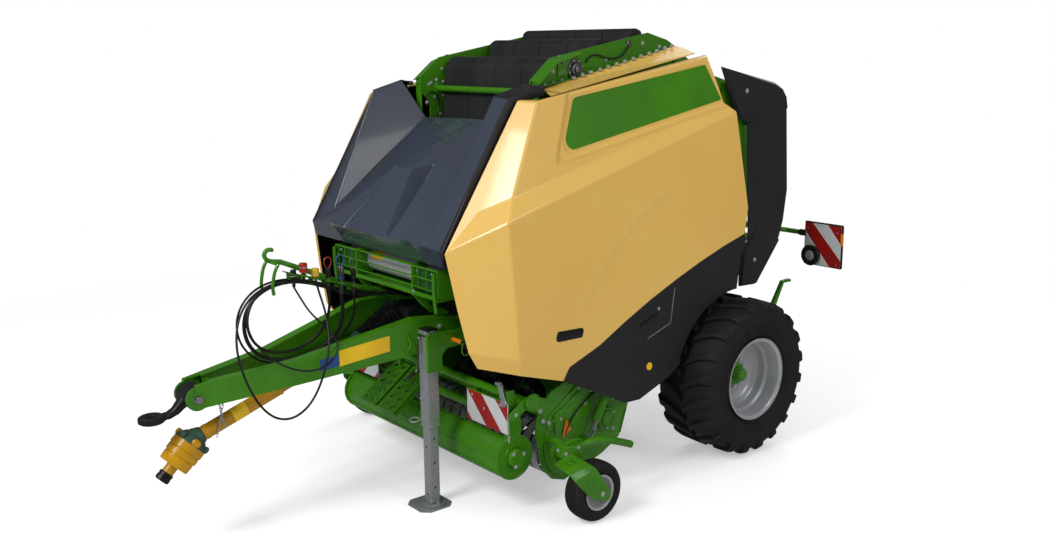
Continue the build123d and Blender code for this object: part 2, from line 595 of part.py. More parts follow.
BANDS = 19
BAND_PITCH = 98.0
BAND_W = 74.0
BAND_R = 166.0
with BuildPart() as pickup_bands:
    for index in range(BANDS):
        band_x = (index - (BANDS - 1) / 2) * BAND_PITCH - BAND_W / 2
        with BuildSketch(Plane.YZ.offset(band_x)) as band:
            with BuildLine():
                for radius, flip in ((BAND_R, 1), (BAND_R + 5, -1)):
                    arc = [
                        (REEL[0] + radius * math.cos(t), REEL[1] + radius * math.sin(t))
                        for t in (math.radians(90), math.radians(180), math.radians(270))
                    ]
                    ThreePointArc(*arc)
                low = REEL[1] - BAND_R
                high = REEL[1] + BAND_R
                Polyline((REEL[0], low - 5), (60, low - 5), (60, low), (REEL[0], low))
                Polyline((REEL[0], high), (-40, high), (-40, high + 5), (REEL[0], high + 5))
            make_face()
        extrude(to_extrude=band.sketch, amount=BAND_W)
    block(-PICKUP_X + 2, PICKUP_X - 2, -70, -40, REEL[1] + BAND_R, REEL[1] + BAND_R + 30)
save(pickup_bands, "pickup_bands")

TINE_BARS = 4
with BuildPart() as pickup_reel:
    disc(REEL[0], REEL[1], REEL_SHAFT_R, -PICKUP_X - 8, PICKUP_X + 8)
    for bar in range(TINE_BARS):
        angle = 2 * math.pi * bar / TINE_BARS + 0.4
        bar_y = REEL[0] + (REEL_R - 20) * math.cos(angle)
        bar_z = REEL[1] + (REEL_R - 20) * math.sin(angle)
        disc(bar_y, bar_z, 15, -930, 930)
    for disc_x in (-934, -310, 302, 926):
        disc(REEL[0], REEL[1], REEL_R, disc_x, disc_x + 8)
save(pickup_reel, "pickup_reel")

# --------------------------------------------------------------- gauge wheels
GAUGE_MID_X = GAUGE_OUT_X - GAUGE_W / 2
GAUGE_PIN_R = 14.0
with BuildPart() as gauge_arms:
    inner_x = PICKUP_X + PICKUP_T
    post_x = GAUGE_OUT_X - GAUGE_W - 10
    fork = (
        (-420, 330), (-420, 410), (-290, 410), (-250, 385), (-176, 277), (-125, 195), (-140, 145),
        (-200, 140), (-290, 200), (-370, 280),
    )
    for side in (-1, 1):
        # link from the end plate, upright, crown over the tyre and fork plate outside it
        rod((side * inner_x, -250, 450), (side * (post_x - 100), -250, 450), 24)
        block(side * (post_x - 110), side * post_x, -335, -205, 398, 490)
        block(side * (post_x - 40), side * (FORK_X + FORK_T), -420, -290, 398, 410)
        side_plate(fork, side * FORK_X, side * FORK_T)
        disc(GAUGE[0], GAUGE[1], GAUGE_PIN_R, side * (GAUGE_OUT_X - GAUGE_W + 10), side * FORK_X)
        # handle
        handle_x = side * (post_x - 33)
        rod((handle_x, -230, 452), (handle_x, -45, 462), 24)
        rod((handle_x, -60, 464), (handle_x, 268, 347), 24)
save(gauge_arms, "gauge_arms")

# x over half the width, radius
GAUGE_TYRE = (
    (-0.75, GAUGE_R), (0.75, GAUGE_R), (1.0, GAUGE_R - 22), (1.0, GAUGE_RIM_R + 12),
    (0.80, GAUGE_RIM_R - 8), (-0.80, GAUGE_RIM_R - 8), (-1.0, GAUGE_RIM_R + 12), (-1.0, GAUGE_R - 22),
)
seat = GAUGE_RIM_R - 8 - SEAT_GAP
GAUGE_RIM = (
    (0.80, seat), (0.80, seat - 8), (0.35, seat - 14), (0.15, 62), (0.15, 38), (0.62, 38),
    (0.62, GAUGE_PIN_R + RUNNING_FIT), (-0.62, GAUGE_PIN_R + RUNNING_FIT), (-0.62, 38), (-0.05, 38),
    (-0.05, 62), (-0.35, seat - 8), (-0.80, seat - 8), (-0.80, seat),
)
for side_name, side in (("left", 1), ("right", -1)):
    for table, name in ((GAUGE_TYRE, "gauge_tyre"), (GAUGE_RIM, "gauge_rim")):
        with BuildPart() as ring:
            profile = [(side * (GAUGE_MID_X + x * GAUGE_W / 2), r) for x, r in table]
            turned(profile, GAUGE[0], GAUGE[1])
        save(ring, f"{name}_{side_name}")

# ----------------------------------------------------------------- wind guard
GUARD_X = 930.0
with BuildPart() as wind_guard:
    sheet = (
        (-560, 520), (-654, 405), (-650, 300), (-605, 262), (-599, 267), (-642, 303), (-647, 402),
        (-556, 515),
    )
    side_plate(sheet, -GUARD_X, 2 * GUARD_X)
    for side in (-1, 1):
        disc(-525, 385, 148, side * GUARD_X, side * (GUARD_X + 12))
        disc(-525, 385, 62, side * (GUARD_X + 12), side * 985)
        arm = ((-600, 480), (-450, 480), (-470, 640), (-520, 835), (-585, 835), (-590, 640))
        side_plate(arm, side * GUARD_X, side * 12)
        lever = ((-600, 640), (-596, 700), (-450, 780), (-405, 775), (-390, 735), (-430, 715))
        side_plate(lever, side * 982, side * 12, holes=((GUARD_PIVOT[0], GUARD_PIVOT[1], 14.05),))
        disc(-550, 670, 22, side * (GUARD_X + 12), side * 982)
        disc(GUARD_PIVOT[0], GUARD_PIVOT[1], 36, side * 982, side * 1004, bore=14.05)
    disc(-550, 800, 27, -GUARD_X, GUARD_X)
    disc(-500, 615, 27, -GUARD_X, GUARD_X)
    for side in (-1, 1):
        for bracket_x in (620, 880):
            block(side * bracket_x, side * (bracket_x + 10), -598, -500, 605, 625)
            block(side * bracket_x, side * (bracket_x + 10), -598, -560, 740, 790)
save(wind_guard, "wind_guard")

with BuildPart() as warning_boards:
    block(552, 977, -606, -598, 565, 772)
    mirror(about=Plane.YZ)
save(warning_boards, "warning_boards")

with BuildPart() as step_plates:
    # inner and outer edge of each plate
    for x0, x1 in ((-400, -205), (-180, 35)):
        rise = ((-850, 510), (-540, 735), (-543, 740), (-853, 515))
        side_plate(rise, x0, x1 - x0)
        for edge_x in (x0, x1 - 5):
            side_plate(((-850, 510), (-540, 735), (-523, 712), (-833, 487)), edge_x, 5)
        block(x0 + 80, x0 + 100, -575, -535, 715, 790)
        disc(-550, 800, 27, x0, x1, mode=Mode.SUBTRACT)
save(step_plates, "step_plates")

# ------------------------------------------------------- pickup lift cylinders


def lift_point(side, along):
    """Point on a lift cylinder's line, measured from its chassis pin."""
    return (
        side * LIFT_X, LIFT_HIGH[0] - along * lift_dir.Y, LIFT_HIGH[1] - along * lift_dir.Z
    )


with BuildPart() as lift_barrels:
    for side in (-1, 1):
        disc(LIFT_HIGH[0], LIFT_HIGH[1], 28, side * (LIFT_X - 18), side * (LIFT_X + 18))
        rod(lift_point(side, 20), lift_point(side, 400), 30)
        bore_start = Plane(origin=lift_point(side, 401), z_dir=lift_dir)
        with BuildSketch(bore_start) as bore:
            Circle(LIFT_BORE_R)
        extrude(to_extrude=bore.sketch, amount=340, mode=Mode.SUBTRACT)
        pin_x = side * LIFT_X
        disc(LIFT_HIGH[0], LIFT_HIGH[1], 14 + RUNNING_FIT, pin_x - 30, pin_x + 30, mode=Mode.SUBTRACT)
save(lift_barrels, "lift_barrels")

with BuildPart() as lift_rods:
    for side in (-1, 1):
        rod(lift_point(side, 180), lift_point(side, lift_run.length - 18), LIFT_BORE_R - RUNNING_FIT)
        disc(LIFT_LOW[0], LIFT_LOW[1], 24, side * (LIFT_X - 16), side * (LIFT_X + 16))
save(lift_rods, "lift_rods")

# ------------------------------------------------------------------------ jack
JACK_FOOT_Y = -858.0
half = JACK_TUBE / 2
with BuildPart() as jack_tube:
    block(JACK_X - half, JACK_X + half, JACK_Y - half, JACK_Y + half, 540, 1200)
    inner = half - 4
    block(JACK_X - inner, JACK_X + inner, JACK_Y - inner, JACK_Y + inner, 530, 1192, mode=Mode.SUBTRACT)
    disc(JACK_Y, JACK_PIVOT_Z, 60, JACK_X + half, JACK_X + half + 12)
    disc(JACK_Y, JACK_PIVOT_Z, 26 + RUNNING_FIT, JACK_X + half, JACK_X + half + 12, mode=Mode.SUBTRACT)
save(jack_tube, "jack_tube")
with BuildPart() as jack_leg:
    half = JACK_LEG / 2
    block(JACK_X - half, JACK_X + half, JACK_Y - half, JACK_Y + half, 10, 830)
    guide = half + 3.9
    block(JACK_X - guide, JACK_X + guide, JACK_Y - guide, JACK_Y + guide, 800, 830)
    block(JACK_X - 125, JACK_X + 125, JACK_FOOT_Y - 125, JACK_FOOT_Y + 125, 0, 12)
    edges = jack_leg.edges().filter_by(Axis.Z).group_by(Axis.Z)[0]
    corners = [e for e in edges if e.length < 13 and e.center().Z < 12]
    fillet(corners, 40)
save(jack_leg, "jack_leg")

# -------------------------------------------------------------------- tailgate
TAIL_Y = SPLIT_Y + SPLIT_GAP
TAIL_WALL = (
    (TAIL_Y, 2790), (1500, 2780), (1960, 2660), (2090, 2490), (2140, 1900), (2080, 1400),
    (1900, 1020), (1700, 830), (1500, 780), (TAIL_Y, 790),
)
COVER_X = 1000.0
LUG_X = RAIL_X + 8.0
with BuildPart() as tailgate_frame:
    for side in (-1, 1):
        side_plate(TAIL_WALL, side * WALL_X, side * WALL_T)
        # hinge arm outside the wing, on a block
        arm = (
            (TAIL_PIVOT[0] - 34, TAIL_PIVOT[1] + 20), (TAIL_PIVOT[0] + 30, TAIL_PIVOT[1] + 34),
            (1560, 2750), (1560, 2640), (1330, 2640), (TAIL_PIVOT[0] - 20, TAIL_PIVOT[1] - 34),
        )
        bore = (TAIL_PIVOT[0], TAIL_PIVOT[1], PIVOT_R + RUNNING_FIT)
        side_plate(arm, side * LUG_X, side * 14, holes=(bore,))
        block(side * RAIL_X, side * LUG_X, 1360, 1560, 2645, 2740)
    for tube_y, tube_z in ((2040, 2450), (2062, 1560), (1700, 920)):
        disc(tube_y, tube_z, 28, -WALL_X, WALL_X)
save(tailgate_frame, "tailgate_frame")

with BuildPart() as tailgate_arms:
    for side in (-1, 1):
        # upright behind the cover, its arms from the wall, and the arm of the rear light
        rib = (
            (1400, 2400), (1400, 2700), (1940, 2600), (1940, 2400), (1640, 2380), (1700, 1700),
            (1780, 1260), (1640, 1260), (1580, 1700), (1520, 2380),
        )
        side_plate(rib, side * 930, side * 12)
        for low, high, y in ((2420, 2500, 1660), (1500, 1580, 1660), (1280, 1340, 1690)):
            block(side * RAIL_X, side * (COVER_X - 16), y, y + 60, low, high)
        block(side * RAIL_X, side * (RAIL_X + 36), 2030, 2080, 1540, 1600)
        rod((side * (RAIL_X + 24), 2055, 1570), (side * 800, 2420, 1500), 20)
        rod((side * 800, 2420, 1500), (side * 980, 2420, 1500), 20)
save(tailgate_arms, "tailgate_arms")

TAIL_ROLLERS = ((1400, 2650, 60), (1880, 2540, 45), (2010, 1900, 45), (1900, 1280, 45), (1440, 920, 60))
with BuildPart() as tailgate_rollers:
    for roller_y, roller_z, roller_r in TAIL_ROLLERS:
        disc(roller_y, roller_z, roller_r, -WALL_X + 12, WALL_X - 12)
        disc(roller_y, roller_z, 22, -WALL_X, WALL_X)
save(tailgate_rollers, "tailgate_rollers")
belt_loop(TAIL_ROLLERS, "tailgate_belts")

with BuildPart() as tailgate_covers:
    for side in (-1, 1):
        body = (
            (1330, 2812), (1940, 2684), (2030, 2640), (2078, 2575), (2095, 2490), (2140, 1873),
            (2105, 1640), (2060, 1510), (1782, 1181), (1604, 1190), (1600, 1230), (1618, 1450),
            (1690, 1560), (1640, 2420), (1560, 2430), (1507, 2464),
        )
        side_plate(body, side * (COVER_X - 16), side * 12)
        top = (
            (1330, 2812), (1940, 2684), (2030, 2640), (2078, 2575), (2095, 2490), (1900, 2387),
            (1560, 2430), (1507, 2464),
        )
        side_plate(top, side * (COVER_X - 4), side * 22)
        foot = ((1878, 1700), (2050, 1500), (1782, 1181), (1604, 1190), (1600, 1230), (1618, 1450))
        side_plate(foot, side * (COVER_X - 4), side * 22)
save(tailgate_covers, "tailgate_covers")

with BuildPart() as rear_lights:
    for side in (-1, 1):
        block(side * 980, side * 1330, 2405, 2435, 1255, 1600)
save(rear_lights, "rear_lights")

# ------------------------------------------------------- tailgate's cylinders


def cylinder_point(side, along):
    """Point on a tailgate cylinder's line, measured from its chassis pin."""
    return (side * CYL_X, CYL_LOW[0] + along * cyl_dir.Y, CYL_LOW[1] + along * cyl_dir.Z)


with BuildPart() as tailgate_barrels:
    for side in (-1, 1):
        disc(CYL_LOW[0], CYL_LOW[1], 36, side * (CYL_X - 20), side * (CYL_X + 20))
        rod(cylinder_point(side, 25), cylinder_point(side, 900), 38)
        with BuildSketch(Plane(origin=cylinder_point(side, 901), z_dir=-cyl_dir)) as bore:
            Circle(CYL_BORE_R)
        extrude(to_extrude=bore.sketch, amount=820, mode=Mode.SUBTRACT)
        disc(CYL_LOW[0], CYL_LOW[1], 18 + RUNNING_FIT, side * 730, side * 790, mode=Mode.SUBTRACT)
save(tailgate_barrels, "tailgate_barrels")
with BuildPart() as tailgate_rods:
    for side in (-1, 1):
        rod(cylinder_point(side, 400), cylinder_point(side, cyl_run.length - 24), CYL_BORE_R - RUNNING_FIT)
        disc(CYL_HIGH[0], CYL_HIGH[1], 34, side * (CYL_X - 18), side * (CYL_X + 18))
save(tailgate_rods, "tailgate_rods")
# ------------------------------------------------------------------- bale ramp
with BuildPart() as bale_ramp:
    for side in (-1, 1):
        strap = (
            (1560, 575), (1575, 600), (2280, 830), (2440, 1070), (2535, 1074), (2548, 1062),
            (2548, 1050), (2456, 1052), (2320, 800), (1620, 550), (1575, 545),
        )
        bore = (RAMP_PIVOT[0], RAMP_PIVOT[1], 16 + RUNNING_FIT)
        side_plate(strap, side * RAMP_X, side * 30, holes=(bore,))
    disc(2240, 795, 24, -RAMP_X, RAMP_X)
save(bale_ramp, "bale_ramp")

# ----------------------------------------------------------------- hose holder
COUPLER_X = 92.0           # line of the plugged-in couplers, beside the holder's bar
# y and z of each coupler's lower end, radius and length of its grip, then of its head
COUPLERS = (
    (-1240, 1427, 15, 60, 21, 120), (-1330, 1492, 13, 53, 17, 60), (-1150, 1422, 12, 68, 17, 85),
    (-1569, 1517, 11, 48, 19, 62), (-1420, 1542, 12, 23, 26, 50), (-1500, 1560, 12, 40, 26, 60),
)


def couplers(mode=Mode.ADD):
    """Add or cut the row of couplers."""
    for end_y, end_z, grip_r, grip, head_r, head in COUPLERS:
        foot = (COUPLER_X, end_y, end_z)
        neck = (COUPLER_X, end_y, end_z + grip)
        rod(foot, neck, grip_r, mode=mode)
        rod(neck, (COUPLER_X, end_y, end_z + grip + head), head_r, mode=mode)


with BuildPart() as hose_holder:
    bar = (
        (-430, 1230), (-430, 1265), (-722, 1325), (-1150, 1475), (-1475, 1627), (-1600, 1682),
        (-1668, 1690), (-1692, 1706), (-1688, 1728), (-1700, 1742), (-1722, 1722), (-1722, 1690),
        (-1690, 1664), (-1600, 1648), (-1482, 1592), (-1156, 1440), (-722, 1290),
        (BEAM_Y - 20, 1256), (BEAM_Y, 1230),
    )
    side_plate(bar, -6, 12)
    # shelf that the couplers stand in, and the prongs beside the bundle
    shelf = ((-1600, 1606), (-1110, 1446), (-1110, 1452), (-1600, 1612))
    side_plate(shelf, 6, COUPLER_X + 24)
    couplers(Mode.SUBTRACT)
    rod((-72, -1668, 1672), (84, -1668, 1672), 6)
    for prong_x in (-72, 84):
        rod((prong_x, -1668, 1672), (prong_x, -1704, 1489), 5)
save(hose_holder, "hose_holder")

# ------------------------------------------------------------- hoses and plugs

def hose(name, diameter, route):
    """Tube along straight runs joined by arcs, each as large as its two runs allow."""
    points = [Vector(*corner) for corner in route]
    radii = []
    for before, corner, after in zip(points, points[1:], points[2:]):
        turn = math.radians((corner - before).get_angle(after - corner))
        shorter = min((corner - before).length, (after - corner).length)
        radii.append(0.45 * shorter / math.tan(turn / 2))
    with BuildPart() as tube:
        with BuildLine() as path:
            FilletPolyline(*points, radius=radii)
        with BuildSketch(Plane(origin=points[0], z_dir=points[1] - points[0])):
            Circle(diameter / 2)
        sweep()
    length = path.wires()[0].length
    section = math.pi * diameter**2 / 4
    print(f"{name}: {length:.0f} mm long, smallest radius {min(radii):.0f} mm,")
    print(f"  volume over section times length {tube.part.volume / (section * length):.4f}")
    save(tube, name)


# each route runs from the block on the front beam, along the bar, over the
# prongs, down and round to its plug
HOSES = {
    "hose_blue": (24, (
        (28, -553, 1300), (28, -680, 1318), (26, -800, 1352), (26, -920, 1368), (24, -1040, 1376),
        (12, -1160, 1404), (8, -1290, 1458), (8, -1420, 1511), (8, -1550, 1538), (8, -1675, 1528),
        (8, -1780, 1482), (8, -1850, 1405), (8, -1877, 1306), (8, -1861, 1203), (8, -1805, 1116),
        (8, -1715, 1061), (10, -1608, 1040), (17, -1497, 1045), (34, -1390, 1075), (60, -1302, 1133),
        (83, -1248, 1218), (COUPLER_X, -1233, 1320), (COUPLER_X, -1240, 1425),
    )),
    "hose_red": (18, (
        (-26, -553, 1300), (-26, -675, 1321), (-25, -790, 1353), (-24, -905, 1374), (-22, -1020, 1392),
        (-20, -1135, 1416), (-20, -1255, 1456), (-20, -1380, 1505), (-20, -1510, 1536),
        (-20, -1635, 1536), (-20, -1740, 1498), (-20, -1811, 1423), (-20, -1842, 1328),
        (-20, -1829, 1229), (-20, -1776, 1146), (-18, -1690, 1097), (-11, -1592, 1083),
        (8, -1497, 1100), (38, -1418, 1148), (68, -1364, 1222), (87, -1334, 1312),
        (COUPLER_X, -1326, 1405), (COUPLER_X, -1330, 1490),
    )),
    "hose_green": (14, (
        (-52, -553, 1300), (-52, -665, 1322), (-51, -775, 1354), (-50, -885, 1373), (-48, -995, 1388),
        (-46, -1105, 1407), (-44, -1215, 1444), (-44, -1330, 1490), (-44, -1450, 1527),
        (-44, -1570, 1545), (-44, -1690, 1536), (-44, -1795, 1490), (-44, -1869, 1410),
        (-44, -1901, 1308), (-44, -1887, 1201), (-44, -1831, 1106), (-42, -1742, 1039),
        (-38, -1635, 1007), (-28, -1523, 1005), (-8, -1412, 1030), (22, -1310, 1078),
        (55, -1222, 1146), (80, -1166, 1233), (COUPLER_X, -1146, 1331), (COUPLER_X, -1150, 1420),
    )),
    "cable_plug": (12, (
        (52, -553, 1300), (52, -650, 1320), (51, -750, 1350), (49, -850, 1370), (46, -950, 1382),
        (42, -1050, 1394), (38, -1150, 1418), (35, -1255, 1455), (34, -1365, 1502),
        (34, -1475, 1535), (34, -1585, 1549), (37, -1692, 1538), (46, -1788, 1500),
        (66, -1860, 1430), (100, -1896, 1342), (143, -1888, 1253), (188, -1843, 1173),
        (229, -1779, 1108), (261, -1705, 1060), (283, -1621, 1031), (301, -1533, 1028),
        (311, -1452, 1066), (305, -1402, 1128), (262, -1384, 1182), (205, -1400, 1230),
        (156, -1440, 1288), (122, -1492, 1357), (104, -1533, 1441), (COUPLER_X, -1569, 1515),
    )),
    "cable_long": (14, (
        (78, -553, 1300), (78, -665, 1320), (77, -780, 1351), (75, -895, 1368), (71, -1010, 1382),
        (66, -1120, 1404), (61, -1230, 1444), (57, -1345, 1494), (56, -1465, 1535),
        (56, -1590, 1556), (60, -1715, 1548), (74, -1831, 1507), (106, -1925, 1431),
        (153, -1987, 1330), (205, -2015, 1215), (253, -2010, 1096), (290, -1980, 980),
        (314, -1929, 872), (326, -1848, 791), (330, -1745, 768), (331, -1645, 812),
        (333, -1572, 900), (334, -1522, 1008), (316, -1478, 1112), (272, -1441, 1205),
        (216, -1417, 1293), (160, -1407, 1380), (115, -1412, 1465), (COUPLER_X, -1420, 1540),
    )),
}
for hose_name, (hose_diameter, hose_route) in HOSES.items():
    hose(hose_name, hose_diameter, hose_route)

with BuildPart() as hose_couplers:
    couplers()
save(hose_couplers, "hose_couplers")
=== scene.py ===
"""Round baler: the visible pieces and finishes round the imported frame."""
import bpy
import json
import math
from mathutils import Matrix, Vector


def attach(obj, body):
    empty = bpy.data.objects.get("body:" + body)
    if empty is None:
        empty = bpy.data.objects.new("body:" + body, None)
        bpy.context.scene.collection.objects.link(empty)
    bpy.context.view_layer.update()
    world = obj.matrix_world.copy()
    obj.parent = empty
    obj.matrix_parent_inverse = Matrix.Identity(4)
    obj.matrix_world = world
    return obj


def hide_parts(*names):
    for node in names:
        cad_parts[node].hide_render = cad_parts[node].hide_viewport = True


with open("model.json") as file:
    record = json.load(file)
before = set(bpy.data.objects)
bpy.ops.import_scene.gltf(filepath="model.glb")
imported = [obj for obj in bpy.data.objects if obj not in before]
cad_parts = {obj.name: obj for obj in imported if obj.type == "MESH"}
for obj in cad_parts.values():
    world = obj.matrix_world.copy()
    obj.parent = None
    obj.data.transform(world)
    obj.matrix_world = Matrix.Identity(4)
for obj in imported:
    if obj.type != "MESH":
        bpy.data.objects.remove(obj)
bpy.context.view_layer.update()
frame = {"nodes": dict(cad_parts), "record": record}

UP = Vector((0, 0, 1))


# ------------------------------------------------------------------- camera
def aim_camera():
    """Set the camera from its place, azimuth, dip and roll."""
    data = bpy.data.cameras.new("camera")
    data.lens = 36.15
    data.sensor_width = 36.0
    data.shift_x = -0.0108
    data.shift_y = -0.0082
    camera = bpy.data.objects.new("camera", data)
    bpy.context.scene.collection.objects.link(camera)
    azimuth, dip, roll = (math.radians(a) for a in (49.967, 11.853, -0.389))
    forward = Vector((
        -math.sin(azimuth) * math.cos(dip), math.cos(azimuth) * math.cos(dip), -math.sin(dip)
    ))
    right = forward.cross(UP).normalized()
    up = right.cross(forward)
    turned_right = right * math.cos(roll) + up * math.sin(roll)
    turned_up = up * math.cos(roll) - right * math.sin(roll)
    place = Matrix((turned_right, turned_up, -forward)).transposed().to_4x4()
    place.translation = Vector((5.903, -4.499, 2.967))
    camera.matrix_world = place
    bpy.context.scene.camera = camera


aim_camera()


# ---------------------------------------------------------------- materials
def linear(hexcode):
    """Linear colour of an sRGB hex value."""
    out = []
    for i in (0, 2, 4):
        c = int(hexcode[i:i + 2], 16) / 255
        out.append(c / 12.92 if c <= 0.04045 else ((c + 0.055) / 1.055) ** 2.4)
    return (*out, 1.0)


def node(tree, kind, inputs=(), **settings):
    """Add a shader node with its settings, and its inputs as values or links."""
    made = tree.nodes.new(kind)
    for key, value in settings.items():
        setattr(made, key, value)
    for key, value in dict(inputs).items():
        if isinstance(value, bpy.types.NodeSocket):
            tree.links.new(value, made.inputs[key])
        else:
            made.inputs[key].default_value = value
    return made


def blank(name):
    """A material with only its surface shader, and that shader and its coordinates."""
    made = bpy.data.materials.new(name)
    made.use_nodes = True
    tree = made.node_tree
    shader = tree.nodes["Principled BSDF"]
    coords = tree.nodes.new("ShaderNodeTexCoord")
    return made, tree, shader, coords.outputs["Object"]


def finish(name, colour, shade, rough, metal=0.0, patch=3.0, grain=400.0, bump=0.02,
           rough_spread=0.08, coat=0.0, ior=1.5, stretch=(1, 1, 1)):
    """A finish whose colour drifts between two tones in patches, with a fine grain in relief.

    patch and grain are in cells per metre, so a grain of 500 is 2 mm wide.
    """
    made, tree, shader, place = blank(name)
    if stretch != (1, 1, 1):
        place = node(tree, "ShaderNodeMapping", {"Vector": place, "Scale": stretch}).outputs[0]
    cloud = node(tree, "ShaderNodeTexNoise", {"Vector": place, "Scale": patch, "Detail": 5.0})
    fine = node(tree, "ShaderNodeTexNoise", {"Vector": place, "Scale": grain, "Detail": 2.0})
    drift = node(tree, "ShaderNodeMath", {0: fine.outputs["Fac"], 1: 0.25,
                                          2: cloud.outputs["Fac"]}, operation="MULTIPLY_ADD")
    tone = node(tree, "ShaderNodeMapRange",
                {"Value": drift.outputs[0], "From Min": 0.42, "From Max": 0.83},
                interpolation_type="SMOOTHSTEP")
    mix = node(tree, "ShaderNodeMix", {"Factor": tone.outputs[0], "A": linear(colour),
                                       "B": linear(shade)}, data_type="RGBA")
    tree.links.new(mix.outputs["Result"], shader.inputs["Base Color"])
    level = node(tree, "ShaderNodeMapRange",
                 {"Value": cloud.outputs["Fac"], "From Min": 0.25, "From Max": 0.75,
                  "To Min": rough - rough_spread, "To Max": rough + rough_spread},
                 interpolation_type="SMOOTHSTEP")
    tree.links.new(level.outputs[0], shader.inputs["Roughness"])
    relief = node(tree, "ShaderNodeBump", {"Height": fine.outputs["Fac"], "Strength": bump,
                                           "Distance": 0.002})
    tree.links.new(relief.outputs[0], shader.inputs["Normal"])
    shader.inputs["Metallic"].default_value = metal
    if not metal:
        shader.inputs["IOR"].default_value = ior
    shader.inputs["Coat Weight"].default_value = coat
    shader.inputs["Coat Roughness"].default_value = 0.06
    return made


